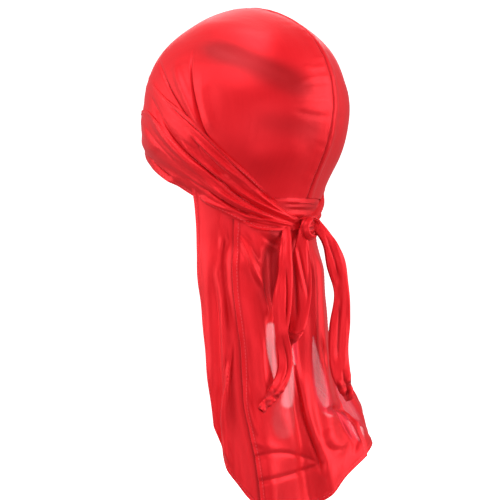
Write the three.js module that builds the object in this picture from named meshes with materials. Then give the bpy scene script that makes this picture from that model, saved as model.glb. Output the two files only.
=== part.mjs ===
// A satin durag in the form it has when worn: crown, crossed straps, knot, hanging ties and a long cape.
// Millimetres. +Z is up, -Y the wearer's front, +X the wearer's left. The origin is the top of the head,
// where the inside of the crown sits. Angles around the head run from 0 at the front over 90 at the
// wearer's left to 180 at the back and on to 360.
import * as THREE from "three";
import { mergeVertices } from "three/addons/utils/BufferGeometryUtils.js";

// The head form that the cloth is stretched over, inside the crown.
const HEAD_HALF_LENGTH = 96;
const HEAD_HALF_WIDTH = 75;
const CROWN_DEPTH = 166;
const PLAN_ROUNDNESS = 2.15;

// Cloth, and the room kept between two edges sewn together and between two layers.
const CLOTH_WALL = 1.2;
const SEAM_GAP = 0.4;
const LAYER_GAP = 0.6;

// Crown details.
const SEAM_CREST = 2;
const SEAM_CREST_WIDTH = 9;
const SEAM_CREST_FROM_AT = 0.02;
const SEAM_CREST_FULL_AT = 0.3;
const CROWN_FOLD_DEPTH = 3;

// Straps: the angle at which each end runs into the knot, how proud their folds stand, the share of the
// head's height over which a layer steps up, the half angle in which the two cross on the forehead, the
// angles over which a pleat starts and ends, and how far they rise into the knot and over what angle.
const STRAP_END_ANGLE = 174;
const STRAP_FOLD_DEPTH = 2.6;
const STRAP_STEP_SHARE = 0.05;
const STRAP_CROSS_ANGLE = 38;
const PLEAT_START_ANGLE = 25;
const PLEAT_END_ANGLE = 25;
const STRAP_KNOT_LIFT = 3.6;
const STRAP_KNOT_LIFT_ANGLE = 18;

// Cape: below CAPE_LOOSE_FROM it leaves the head. The main panel laps each side panel by an angle, and
// the hem runs between the panel edges that HEM_EDGE_SHARE of the length has.
const CAPE_LENGTH = 276;
const CAPE_FOLD_DEPTH = 9;
const CAPE_FOLD_FADE_SHARE = 0.2;
const CAPE_LOOSE_FROM = 34;
const CAPE_LOOSE_OVER = 30;
const HEM_EDGE_SHARE = 0.8;
const PANEL_LAP_ANGLE = 9;
const PANEL_SLACK = 0.5;

// Knot and ties. The knot's place is in the head profile's count, and its wraps run round it in a twist.
// A tie is pinched along its middle, to a share of its thickness and over a share of its width.
const KNOT_HALF_WIDTH = 8.5;
const KNOT_HALF_DEPTH = 5.6;
const KNOT_HALF_HEIGHT = 8;
const KNOT_PLACE_SHARE = 1.16;
const KNOT_WRAP_DEPTH = 1.1;
const KNOT_WRAP_COUNT = 4;
const TIE_LEFT_LENGTH = 152;
const TIE_RIGHT_LENGTH = 147;
const TIE_WIDTH = 16;
const TIE_THICKNESS = 4;
const TIE_ROOT_GAP = 0.3;
const TIE_ROOT_OUT = 0.6;
const TIE_PINCH_SHARE = 0.45;
const TIE_PINCH_WIDTH_SHARE = 0.45;

// Colours and finishes.
const SATIN_RED = 0xdc2a33;
const SATIN_ROUGHNESS = 0.38;

// Head profile. `at` counts down the head, 1 being the nape seam; drop is a share of the crown depth,
// back and front are shares of the half length, side is a share of the half width.
const PROFILE = [
  { at: 0.0, drop: 0.0, back: 0.0, front: 0.0, side: 0.0 },
  { at: 0.1, drop: 0.042, back: 0.35, front: 0.34, side: 0.3 },
  { at: 0.2, drop: 0.122, back: 0.612, front: 0.61, side: 0.57 },
  { at: 0.3, drop: 0.226, back: 0.806, front: 0.812, side: 0.79 },
  { at: 0.4, drop: 0.355, back: 0.932, front: 0.934, side: 0.935 },
  { at: 0.5, drop: 0.492, back: 0.985, front: 0.985, side: 0.998 },
  { at: 0.6, drop: 0.614, back: 0.974, front: 1.0, side: 1.004 },
  { at: 0.7, drop: 0.716, back: 0.929, front: 0.998, side: 0.971 },
  { at: 0.8, drop: 0.803, back: 0.864, front: 0.98, side: 0.916 },
  { at: 0.9, drop: 0.888, back: 0.786, front: 0.951, side: 0.855 },
  { at: 1.0, drop: 1.0, back: 0.696, front: 0.91, side: 0.795 },
  { at: 1.1, drop: 1.1, back: 0.65, front: 0.876, side: 0.768 },
  { at: 1.2, drop: 1.205, back: 0.634, front: 0.846, side: 0.753 },
  { at: 1.3, drop: 1.31, back: 0.63, front: 0.83, side: 0.746 },
];

// Lower edge of the crown, in the same count down the head, around one side.
const RIM = [
  { angle: 0, at: 0.64 },
  { angle: 45, at: 0.66 },
  { angle: 75, at: 0.8 },
  { angle: 90, at: 0.9 },
  { angle: 110, at: 0.975 },
  { angle: 130, at: 1.0 },
  { angle: 180, at: 1.0 },
];

// Edges of the straps on one side of the head. The low strap passes under the ear, the high one over it.
const STRAP_EDGES = [
  { angle: 0, lowTop: 0.52, lowBottom: 0.745, highTop: 0.41, highBottom: 0.66 },
  { angle: 35, lowTop: 0.535, lowBottom: 0.765, highTop: 0.39, highBottom: 0.63 },
  { angle: 60, lowTop: 0.55, lowBottom: 0.885, highTop: 0.44, highBottom: 0.69 },
  { angle: 75, lowTop: 0.635, lowBottom: 0.95, highTop: 0.5, highBottom: 0.77 },
  { angle: 90, lowTop: 0.79, lowBottom: 1.015, highTop: 0.58, highBottom: 0.88 },
  { angle: 105, lowTop: 0.91, lowBottom: 1.07, highTop: 0.715, highBottom: 0.97 },
  { angle: 120, lowTop: 0.99, lowBottom: 1.12, highTop: 0.848, highBottom: 1.035 },
  { angle: 135, lowTop: 1.045, lowBottom: 1.16, highTop: 0.94, highBottom: 1.08 },
  { angle: 150, lowTop: 1.09, lowBottom: 1.18, highTop: 1.01, highBottom: 1.12 },
  { angle: 165, lowTop: 1.125, lowBottom: 1.193, highTop: 1.075, highBottom: 1.15 },
  { angle: 180, lowTop: 1.145, lowBottom: 1.195, highTop: 1.125, highBottom: 1.165 },
];

// Pleats along a strap: place across it and width as shares of its width, height as a share of the
// fold depth, and the angles between which each one is full.
const STRAP_PLEATS = [
  { across: 0.12, width: 0.1, height: 0.55, from: 50, to: 137 },
  { across: 0.38, width: 0.13, height: 1.0, from: 40, to: 125 },
  { across: 0.64, width: 0.12, height: 0.8, from: 25, to: 133 },
  { across: 0.88, width: 0.09, height: 0.6, from: 45, to: 141 },
];

// Creases and swells of the crown: a line from one place to another, its width in millimetres on the
// head, and its height as a share of the fold depth, below zero for a hollow.
const CROWN_FOLDS = [
  { fromAngle: 64, fromAt: 0.36, toAngle: 88, toAt: 0.58, width: 5, height: -0.55 },
  { fromAngle: 72, fromAt: 0.36, toAngle: 94, toAt: 0.61, width: 6, height: 0.55 },
  { fromAngle: 92, fromAt: 0.36, toAngle: 99, toAt: 0.66, width: 5, height: -0.75 },
  { fromAngle: 100, fromAt: 0.4, toAngle: 106, toAt: 0.7, width: 8, height: 0.35 },
  { fromAngle: 92, fromAt: 0.26, toAngle: 165, toAt: 0.34, width: 13, height: -0.5 },
  { fromAngle: 120, fromAt: 0.62, toAngle: 168, toAt: 0.6, width: 17, height: -0.45 },
];

// How far the hanging cape spreads, by drop below the nape seam as a share of the cape length. Each
// named column is an angle around the head and holds a multiple of the reach at the nape.
const CAPE_SPREAD = [
  { drop: 0.0, a80: 1.02, a100: 1.03, a120: 1.04, a145: 1.01, a165: 1.01, a185: 1.02, a205: 1.05 },
  { drop: 0.15, a80: 1.04, a100: 1.07, a120: 1.1, a145: 1.03, a165: 1.03, a185: 1.06, a205: 1.08 },
  { drop: 0.3, a80: 0.99, a100: 1.03, a120: 1.13, a145: 1.05, a165: 1.05, a185: 1.1, a205: 1.13 },
  { drop: 0.45, a80: 0.96, a100: 1.01, a120: 1.1, a145: 1.1, a165: 1.08, a185: 1.12, a205: 1.18 },
  { drop: 0.58, a80: 0.96, a100: 1.02, a120: 1.08, a145: 1.13, a165: 1.1, a185: 1.14, a205: 1.24 },
  { drop: 0.67, a80: 0.96, a100: 1.02, a120: 1.07, a145: 1.14, a165: 1.1, a185: 1.15, a205: 1.33 },
  { drop: 0.74, a80: 0.96, a100: 1.01, a120: 1.06, a145: 1.14, a165: 1.1, a185: 1.16, a205: 1.42 },
  { drop: 0.82, a80: 0.96, a100: 1.0, a120: 1.05, a145: 1.13, a165: 1.08, a185: 1.16, a205: 1.5 },
  { drop: 1.0, a80: 0.96, a100: 0.99, a120: 1.03, a145: 1.07, a165: 1.02, a185: 1.14, a205: 1.44 },
];
const CAPE_SPREAD_ANGLES = [80, 100, 120, 145, 165, 185, 205];

// The far side of the cape, out of the flare, spreads like this.
const CAPE_FAR_SPREAD = [
  { drop: 0.0, a220: 1.05, a240: 1.05, a260: 1.04, a280: 1.02 },
  { drop: 0.3, a220: 1.13, a240: 1.13, a260: 1.1, a280: 1.04 },
  { drop: 0.45, a220: 1.19, a240: 1.26, a260: 1.13, a280: 1.02 },
  { drop: 0.58, a220: 1.28, a240: 1.52, a260: 1.2, a280: 1.02 },
  { drop: 0.67, a220: 1.48, a240: 1.8, a260: 1.3, a280: 1.03 },
  { drop: 0.75, a220: 1.77, a240: 1.88, a260: 1.36, a280: 1.04 },
  { drop: 1.0, a220: 1.64, a240: 1.8, a260: 1.34, a280: 1.04 },
];
const CAPE_FAR_ANGLES = [220, 240, 260, 280];

// Bottom hem: drop below the nape seam as a share of the cape length.
const CAPE_HEM = [
  { angle: 80, drop: 0.54 },
  { angle: 98, drop: 0.65 },
  { angle: 108, drop: 0.785 },
  { angle: 122, drop: 0.9 },
  { angle: 142, drop: 0.985 },
  { angle: 162, drop: 1.0 },
  { angle: 180, drop: 0.972 },
  { angle: 194, drop: 0.94 },
  { angle: 205, drop: 0.875 },
  { angle: 218, drop: 0.8 },
  { angle: 235, drop: 0.755 },
  { angle: 262, drop: 0.65 },
  { angle: 280, drop: 0.54 },
];

// Side edges of the panels, as angles at each drop.
const PANEL_EDGES = [
  { drop: 0.0, sideFront: 86, mainLeft: 119, mainRight: 219, farFront: 270 },
  { drop: 0.3, sideFront: 88, mainLeft: 119, mainRight: 219, farFront: 270 },
  { drop: 0.47, sideFront: 92, mainLeft: 124, mainRight: 219, farFront: 267 },
  { drop: 0.63, sideFront: 98, mainLeft: 127, mainRight: 218, farFront: 262 },
  { drop: 0.75, sideFront: 101, mainLeft: 133, mainRight: 216, farFront: 258 },
  { drop: 0.87, sideFront: 104, mainLeft: 138, mainRight: 213, farFront: 255 },
  { drop: 1.0, sideFront: 106, mainLeft: 141, mainRight: 210, farFront: 252 },
];

// Hanging folds of the cape: the angle at the top and at the bottom, the drops between which the fold
// runs, its width in degrees and its height as a share of the fold depth, below zero for a valley.
const CAPE_FOLDS = [
  { topAngle: 124, bottomAngle: 146, from: 0.06, to: 0.34, width: 4, height: 0.4 },
  { topAngle: 150, bottomAngle: 153, from: 0.1, to: 0.5, width: 6, height: -0.7 },
  { topAngle: 172, bottomAngle: 176, from: 0.16, to: 0.62, width: 5, height: -0.4 },
  { topAngle: 197, bottomAngle: 196, from: 0.1, to: 0.85, width: 7, height: 0.45 },
  { topAngle: 160, bottomAngle: 187, from: 0.4, to: 0.98, width: 6, height: -0.85 },
  { topAngle: 172, bottomAngle: 199, from: 0.5, to: 1.0, width: 5, height: 0.45 },
  { topAngle: 134, bottomAngle: 152, from: 0.6, to: 1.0, width: 6, height: 0.4 },
  { topAngle: 110, bottomAngle: 116, from: 0.3, to: 0.95, width: 4, height: 0.4 },
  { topAngle: 102, bottomAngle: 108, from: 0.25, to: 0.9, width: 4, height: -0.35 },
  { topAngle: 232, bottomAngle: 230, from: 0.3, to: 0.9, width: 6, height: -0.5 },
  { topAngle: 248, bottomAngle: 246, from: 0.25, to: 0.9, width: 6, height: 0.4 },
];

// Ties: down, aside to the wearer's left and out behind the knot are shares of the tie's length from
// its root; width and thick are shares of the tie's own, and turn is the twist in degrees.
const TIE_LEFT_RUN = [
  { down: 0.0, aside: 0.0, out: 0.0, width: 0.4, thick: 1.3, turn: 30 },
  { down: 0.02, aside: 0.06, out: -0.01, width: 0.34, thick: 1.2, turn: 40 },
  { down: 0.06, aside: 0.11, out: -0.03, width: 0.4, thick: 1.2, turn: 50 },
  { down: 0.13, aside: 0.13, out: -0.032, width: 0.55, thick: 1.15, turn: 50 },
  { down: 0.24, aside: 0.13, out: -0.032, width: 0.62, thick: 1.1, turn: 52 },
  { down: 0.38, aside: 0.158, out: -0.03, width: 0.84, thick: 0.95, turn: 50 },
  { down: 0.48, aside: 0.162, out: -0.032, width: 0.78, thick: 1.0, turn: 58 },
  { down: 0.58, aside: 0.158, out: -0.032, width: 0.62, thick: 1.2, turn: 70 },
  { down: 0.7, aside: 0.13, out: -0.032, width: 0.72, thick: 1.1, turn: 50 },
  { down: 0.8, aside: 0.138, out: -0.036, width: 0.75, thick: 0.95, turn: 45 },
  { down: 0.91, aside: 0.208, out: -0.045, width: 0.75, thick: 0.8, turn: 40 },
  { down: 1.0, aside: 0.296, out: -0.067, width: 0.4, thick: 0.6, turn: 50 },
];
const TIE_RIGHT_RUN = [
  { down: 0.0, aside: 0.0, out: 0.0, width: 0.45, thick: 1.2, turn: 50 },
  { down: 0.06, aside: -0.014, out: 0.05, width: 0.65, thick: 1.2, turn: 40 },
  { down: 0.12, aside: -0.022, out: 0.078, width: 0.85, thick: 1.1, turn: 40 },
  { down: 0.21, aside: -0.03, out: 0.104, width: 0.95, thick: 1.0, turn: 48 },
  { down: 0.3, aside: -0.04, out: 0.123, width: 0.82, thick: 1.1, turn: 60 },
  { down: 0.38, aside: -0.048, out: 0.132, width: 0.74, thick: 1.2, turn: 62 },
  { down: 0.54, aside: -0.048, out: 0.12, width: 0.98, thick: 1.0, turn: 45 },
  { down: 0.72, aside: -0.046, out: 0.11, width: 1.05, thick: 0.9, turn: 35 },
  { down: 0.87, aside: -0.06, out: 0.124, width: 0.85, thick: 1.1, turn: 40 },
  { down: 1.0, aside: -0.095, out: 0.158, width: 0.4, thick: 1.0, turn: 50 },
];

// Mesh steps.
const CROWN_STEPS = { around: 24, down: 15 };
const STRAP_STEPS = { along: 50, across: 8 };
const MAIN_STEPS = { across: 24, down: 24 };
const SIDE_STEPS = { across: 9, down: 18 };
const TIE_STEPS = { along: 22, around: 10 };
const KNOT_STEPS = { around: 14, down: 10 };

// Steps over which a surface's outward direction is taken, and how near its top the head's is straight up.
const ANGLE_STEP = 0.5;
const SHARE_STEP = 0.003;
const CAPE_ANGLE_STEP = 1;
const CAPE_SHARE_STEP = 0.01;
const TOP_SHARE = 0.004;

const DEGREE = Math.PI / 180;
const mix = (a, b, share) => a + (b - a) * share;
const clamp = (x, low, high) => Math.min(Math.max(x, low), high);
const gauss = (x) => Math.exp(-x * x);
const rise = (x, from, to) => THREE.MathUtils.smoothstep(x, from, to);

// A smooth curve through points, straight past its ends.
function curveThrough(xs, ys) {
  const n = xs.length;
  const bend = new Array(n).fill(0);
  const work = new Array(n).fill(0);
  for (let i = 1; i < n - 1; i++) {
    const share = (xs[i] - xs[i - 1]) / (xs[i + 1] - xs[i - 1]);
    const pivot = share * bend[i - 1] + 2;
    const after = (ys[i + 1] - ys[i]) / (xs[i + 1] - xs[i]);
    const before = (ys[i] - ys[i - 1]) / (xs[i] - xs[i - 1]);
    bend[i] = (share - 1) / pivot;
    work[i] = ((6 * (after - before)) / (xs[i + 1] - xs[i - 1]) - share * work[i - 1]) / pivot;
  }
  for (let i = n - 2; i >= 0; i--) bend[i] = bend[i] * bend[i + 1] + work[i];
  return (x) => {
    const inside = clamp(x, xs[0], xs[n - 1]);
    let i = 0;
    while (i < n - 2 && inside > xs[i + 1]) i++;
    const h = xs[i + 1] - xs[i];
    const b = (inside - xs[i]) / h;
    const a = 1 - b;
    const curve = ((a ** 3 - a) * bend[i] + (b ** 3 - b) * bend[i + 1]) * h * h;
    const slope = (ys[i + 1] - ys[i]) / h;
    return a * ys[i] + b * ys[i + 1] + curve / 6 + (x - inside) * slope;
  };
}

// One smooth curve for each named column of a table.
function curvesOf(table, key) {
  const curves = {};
  for (const column of Object.keys(table[0])) {
    if (column === key) continue;
    curves[column] = curveThrough(
      table.map((row) => row[key]),
      table.map((row) => row[column]),
    );
  }
  return curves;
}

// The head profile carried over the top, so that the crown is round there and not pointed.
function profileCurves() {
  const over = PROFILE.slice(1, 4)
    .reverse()
    .map((row) => ({ at: -row.at, drop: row.drop, back: -row.back, front: -row.front, side: -row.side }));
  return curvesOf([...over, ...PROFILE], "at");
}

const profile = profileCurves();
const rim = curvesOf(RIM, "angle");
const strapEdges = curvesOf(STRAP_EDGES, "angle");
const hem = curvesOf(CAPE_HEM, "angle");
const panelEdges = curvesOf(PANEL_EDGES, "drop");
const nearSpread = curvesOf(CAPE_SPREAD, "drop");
const farSpread = curvesOf(CAPE_FAR_SPREAD, "drop");

const roundPower = (x) => Math.sign(x) * Math.abs(x) ** (2 / PLAN_ROUNDNESS);

// A point of the head form.
function headPoint(angle, at) {
  const c = Math.cos(angle * DEGREE);
  const s = Math.sin(angle * DEGREE);
  const reach = c > 0 ? profile.front(at) : profile.back(at);
  return new THREE.Vector3(
    roundPower(s) * profile.side(at) * HEAD_HALF_WIDTH,
    -roundPower(c) * reach * HEAD_HALF_LENGTH,
    -profile.drop(at) * CROWN_DEPTH,
  );
}

// Outward direction of a surface given as point(angle, at).
function outward(point, angle, at, angleStep, atStep) {
  const around = point(angle + angleStep, at).sub(point(angle - angleStep, at));
  const down = point(angle, at + atStep).sub(point(angle, at - atStep));
  return around.cross(down).normalize().negate();
}

// A point a given height above the head form.
function overHead(angle, at, height) {
  const up = new THREE.Vector3(0, 0, 1);
  const direction = at < TOP_SHARE ? up : outward(headPoint, angle, at, ANGLE_STEP, SHARE_STEP);
  return headPoint(angle, at).addScaledVector(direction, height);
}

// A closed mesh from a wall of cloth. `outer` and `inner` give the two faces over a grid of
// columns by rows.
function wallSolid(columns, rows, outer, inner) {
  const positions = [];
  const faces = [];
  const count = (columns + 1) * (rows + 1);
  for (const side of [outer, inner])
    for (let i = 0; i <= columns; i++)
      for (let j = 0; j <= rows; j++) positions.push(...side(i, j).toArray());
  const id = (i, j, side) => side * count + i * (rows + 1) + j;
  const quad = (a, b, c, d) => faces.push(a, b, c, a, c, d);
  for (let i = 0; i < columns; i++)
    for (let j = 0; j < rows; j++) {
      quad(id(i, j, 0), id(i, j + 1, 0), id(i + 1, j + 1, 0), id(i + 1, j, 0));
      quad(id(i, j, 1), id(i + 1, j, 1), id(i + 1, j + 1, 1), id(i, j + 1, 1));
    }
  for (let i = 0; i < columns; i++) {
    quad(id(i, 0, 0), id(i + 1, 0, 0), id(i + 1, 0, 1), id(i, 0, 1));
    quad(id(i, rows, 0), id(i, rows, 1), id(i + 1, rows, 1), id(i + 1, rows, 0));
  }
  for (let j = 0; j < rows; j++) {
    quad(id(0, j, 0), id(0, j, 1), id(0, j + 1, 1), id(0, j + 1, 0));
    quad(id(columns, j, 0), id(columns, j + 1, 0), id(columns, j + 1, 1), id(columns, j, 1));
  }
  return closedGeometry(positions, faces);
}

// Joins equal vertices and drops the triangles that this leaves without area.
function closedGeometry(positions, faces) {
  const loose = new THREE.BufferGeometry();
  loose.setAttribute("position", new THREE.Float32BufferAttribute(positions, 3));
  loose.setIndex(faces);
  const merged = mergeVertices(loose, 2e-3);
  const index = merged.index.array;
  const kept = [];
  for (let i = 0; i < index.length; i += 3) {
    const [a, b, c] = [index[i], index[i + 1], index[i + 2]];
    if (a !== b && b !== c && c !== a) kept.push(a, b, c);
  }
  merged.setIndex(kept);
  merged.computeVertexNormals();
  return merged;
}

const satin = () =>
  new THREE.MeshStandardMaterial({ color: SATIN_RED, roughness: SATIN_ROUGHNESS, metalness: 0 });

function clothMesh(name, geometry) {
  const mesh = new THREE.Mesh(geometry, satin());
  mesh.name = name;
  return mesh;
}

// Height of the creases, swells and seam crest over the crown.
function crownRelief(angle, at) {
  const here = headPoint(angle, at);
  const crest = SEAM_CREST * rise(at, SEAM_CREST_FROM_AT, SEAM_CREST_FULL_AT);
  let height = crest * gauss(here.x / SEAM_CREST_WIDTH);
  for (const fold of CROWN_FOLDS) {
    const start = headPoint(fold.fromAngle, fold.fromAt);
    const end = headPoint(fold.toAngle, fold.toAt);
    const run = end.clone().sub(start);
    const share = clamp(here.clone().sub(start).dot(run) / run.lengthSq(), 0, 1);
    const away = here.distanceTo(start.addScaledVector(run, share));
    height += CROWN_FOLD_DEPTH * fold.height * gauss(away / fold.width);
  }
  return height;
}

// Half of the crown: `side` is 1 for the wearer's left and -1 for the right.
function crownHalf(name, side) {
  const { around, down } = CROWN_STEPS;
  const place = (i, j, height) => {
    const angle = (180 * i) / around;
    const at = (rim.at(angle) * j) / down;
    const strapTop = strapTopAt(angle);
    const bare = 1 - rise(at, strapTop - STRAP_STEP_SHARE, strapTop);
    const point = overHead(angle, at, height + crownRelief(angle, at) * bare);
    point.x = (Math.max(point.x, 0) + SEAM_GAP / 2) * side;
    return point;
  };
  const column = (i) => (side > 0 ? i : around - i);
  const outer = (i, j) => place(column(i), j, CLOTH_WALL);
  const inner = (i, j) => place(column(i), j, 0);
  return clothMesh(name, wallSolid(around, down, outer, inner));
}

// Angle folded to one side of the head, from 0 at the front to 180 at the back.
const folded = (angle) => {
  const turn = ((angle % 360) + 360) % 360;
  return turn > 180 ? 360 - turn : turn;
};

// Edges of a strap at a signed angle, plus for the wearer's left. The outer strap is the low one on
// the left and the high one on the right, and the inner strap the other way round.
function strapRange(isOuter, signedAngle) {
  const angle = Math.abs(signedAngle);
  const leftShare = rise(signedAngle, -STRAP_CROSS_ANGLE, STRAP_CROSS_ANGLE);
  const low = isOuter ? leftShare : 1 - leftShare;
  return {
    top: mix(strapEdges.highTop(angle), strapEdges.lowTop(angle), low),
    bottom: mix(strapEdges.highBottom(angle), strapEdges.lowBottom(angle), low),
  };
}

// The highest strap edge at an angle, where the crown goes under the straps.
function strapTopAt(angle) {
  return strapEdges.highTop(folded(angle));
}

// Height of the pleats of a strap over its flat lie.
function pleatHeight(angle, across) {
  let height = 0;
  for (const pleat of STRAP_PLEATS) {
    const begun = rise(angle, pleat.from - PLEAT_START_ANGLE, pleat.from);
    const ended = rise(angle, pleat.to, pleat.to + PLEAT_END_ANGLE);
    height += pleat.height * begun * (1 - ended) * gauss((across - pleat.across) / pleat.width);
  }
  return STRAP_FOLD_DEPTH * height;
}

// Height of a strap's inner face above the head form.
function strapHeight(isOuter, signedAngle, at) {
  const own = strapRange(isOuter, signedAngle);
  const other = strapRange(!isOuter, signedAngle);
  const across = (at - own.top) / (own.bottom - own.top);
  const base = CLOTH_WALL + LAYER_GAP;
  const covered =
    rise(at, other.top - 2 * STRAP_STEP_SHARE, other.top - STRAP_STEP_SHARE / 2) *
    (1 - rise(at, other.bottom + STRAP_STEP_SHARE / 2, other.bottom + 2 * STRAP_STEP_SHARE));
  const angle = Math.abs(signedAngle);
  const pleats = pleatHeight(angle, across);
  const lift = STRAP_KNOT_LIFT * rise(angle, STRAP_END_ANGLE - STRAP_KNOT_LIFT_ANGLE, STRAP_END_ANGLE);
  if (isOuter) return base + lift + (CLOTH_WALL + LAYER_GAP) * covered + pleats;
  return base + lift + pleats * (1 - covered);
}

function strap(name, isOuter) {
  const { along, across } = STRAP_STEPS;
  const place = (i, j, height) => {
    const signedAngle = mix(STRAP_END_ANGLE, -STRAP_END_ANGLE, i / along);
    const range = strapRange(isOuter, signedAngle);
    const at = mix(range.top, range.bottom, j / across);
    return overHead(signedAngle, at, height + strapHeight(isOuter, signedAngle, at));
  };
  const outer = (i, j) => place(along - i, j, CLOTH_WALL);
  const inner = (i, j) => place(along - i, j, 0);
  return clothMesh(name, wallSolid(along, across, outer, inner));
}

// How far the cape has left the head, at a length below the nape seam.
const looseShare = (below) => rise(below, CAPE_LOOSE_FROM, CAPE_LOOSE_FROM + CAPE_LOOSE_OVER);

// Spread of the cape at an angle and a drop, as a multiple of the reach at the nape.
function capeSpread(angle, drop) {
  const angles = [...CAPE_SPREAD_ANGLES, ...CAPE_FAR_ANGLES];
  const values = [
    ...CAPE_SPREAD_ANGLES.map((a) => nearSpread["a" + a](drop)),
    ...CAPE_FAR_ANGLES.map((a) => farSpread["a" + a](drop)),
  ];
  return curveThrough(angles, values)(angle);
}

// A point of the cape's lie, without its folds. It follows the head to below the straps and then
// hangs free.
function capePoint(angle, drop) {
  const below = drop * CAPE_LENGTH;
  const at = 1 + below / CROWN_DEPTH;
  const tight = headPoint(angle, Math.min(at, PROFILE.at(-1).at));
  const spread = mix(1, capeSpread(angle, Math.max(drop, 0)), looseShare(below));
  return new THREE.Vector3(tight.x * spread, tight.y * spread, headPoint(angle, 1).z - below);
}

function capeFolds(angle, drop) {
  const fade = CAPE_FOLD_FADE_SHARE;
  let height = 0;
  for (const fold of CAPE_FOLDS) {
    const share = clamp((drop - fold.from) / (fold.to - fold.from), -fade, 1 + fade);
    const centre = mix(fold.topAngle, fold.bottomAngle, share);
    const full = rise(share, -fade / 2, fade) * (1 - rise(share, 1, 1 + fade));
    height += fold.height * full * gauss((angle - centre) / fold.width);
  }
  return CAPE_FOLD_DEPTH * height * looseShare(drop * CAPE_LENGTH);
}

// A panel of the cape. `edges` gives its two side angles at a drop, `sunk` how far it lies inside the
// main panel at an angle and a drop, and `startDrop` where its top edge is sewn on.
function capePanel(name, steps, edges, sunk) {
  const lie = (u, v) => {
    const hemAngle = mix(...edges(HEM_EDGE_SHARE), u);
    const topAngle = mix(...edges(0), u);
    const topDrop = ((rim.at(folded(topAngle)) - 1) * CROWN_DEPTH + SEAM_GAP) / CAPE_LENGTH;
    const drop = mix(topDrop, hem.drop(hemAngle), v);
    const angle = mix(...edges(Math.max(drop, 0)), u);
    const middle = CLOTH_WALL / 2 + capeFolds(angle, drop) - sunk(angle, drop);
    const direction = outward(capePoint, angle, drop, CAPE_ANGLE_STEP, CAPE_SHARE_STEP);
    return capePoint(angle, drop).addScaledVector(direction, middle);
  };
  const { across, down } = steps;
  const face = (height) => (i, j) => {
    const u = i / across;
    const v = j / down;
    const direction = outward(lie, u, v, CAPE_SHARE_STEP, CAPE_SHARE_STEP);
    return lie(u, v).addScaledVector(direction, height);
  };
  return clothMesh(name, wallSolid(across, down, face(CLOTH_WALL / 2), face(-CLOTH_WALL / 2)));
}

const underMain = (angle, drop) => {
  const left = panelEdges.mainLeft(drop) - PANEL_LAP_ANGLE / 2;
  const right = panelEdges.mainRight(drop) + PANEL_LAP_ANGLE / 2;
  const pastRight = rise(angle, right, right + PANEL_LAP_ANGLE);
  const inside = rise(angle, left - PANEL_LAP_ANGLE, left) * (1 - pastRight);
  return (CLOTH_WALL + LAYER_GAP + PANEL_SLACK) * inside;
};

function capeMain() {
  const edges = (drop) => [panelEdges.mainLeft(drop), panelEdges.mainRight(drop)];
  return capePanel("cape_main", MAIN_STEPS, edges, () => 0);
}

function capeLeft() {
  const edges = (drop) => [panelEdges.sideFront(drop), panelEdges.mainLeft(drop) + PANEL_LAP_ANGLE];
  return capePanel("cape_left", SIDE_STEPS, edges, underMain);
}

function capeRight() {
  const edges = (drop) => [panelEdges.mainRight(drop) - PANEL_LAP_ANGLE, panelEdges.farFront(drop)];
  return capePanel("cape_right", SIDE_STEPS, edges, underMain);
}

// Middle of the knot: clear of the two straps that run under it.
function knotCentre() {
  const layers = 3 * (CLOTH_WALL + LAYER_GAP);
  return headPoint(180, KNOT_PLACE_SHARE).add(new THREE.Vector3(0, layers + KNOT_HALF_DEPTH, 0));
}

function knot() {
  const { around, down } = KNOT_STEPS;
  const centre = knotCentre();
  const positions = [];
  const faces = [];
  for (let j = 0; j <= down; j++)
    for (let i = 0; i < around; i++) {
      const turn = (2 * Math.PI * i) / around;
      const tip = (Math.PI * j) / down;
      const sunk = (1 - Math.cos(KNOT_WRAP_COUNT * tip + turn)) / 2;
      const wrap = 1 - (KNOT_WRAP_DEPTH / KNOT_HALF_WIDTH) * sunk;
      positions.push(
        centre.x + KNOT_HALF_WIDTH * Math.sin(tip) * Math.cos(turn) * wrap,
        centre.y + KNOT_HALF_DEPTH * Math.sin(tip) * Math.sin(turn) * wrap,
        centre.z + KNOT_HALF_HEIGHT * Math.cos(tip),
      );
    }
  const id = (i, j) => j * around + (i % around);
  for (let j = 0; j < down; j++)
    for (let i = 0; i < around; i++)
      faces.push(id(i, j), id(i, j + 1), id(i + 1, j + 1), id(i, j), id(i + 1, j + 1), id(i + 1, j));
  return clothMesh("knot", closedGeometry(positions, faces));
}

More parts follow.
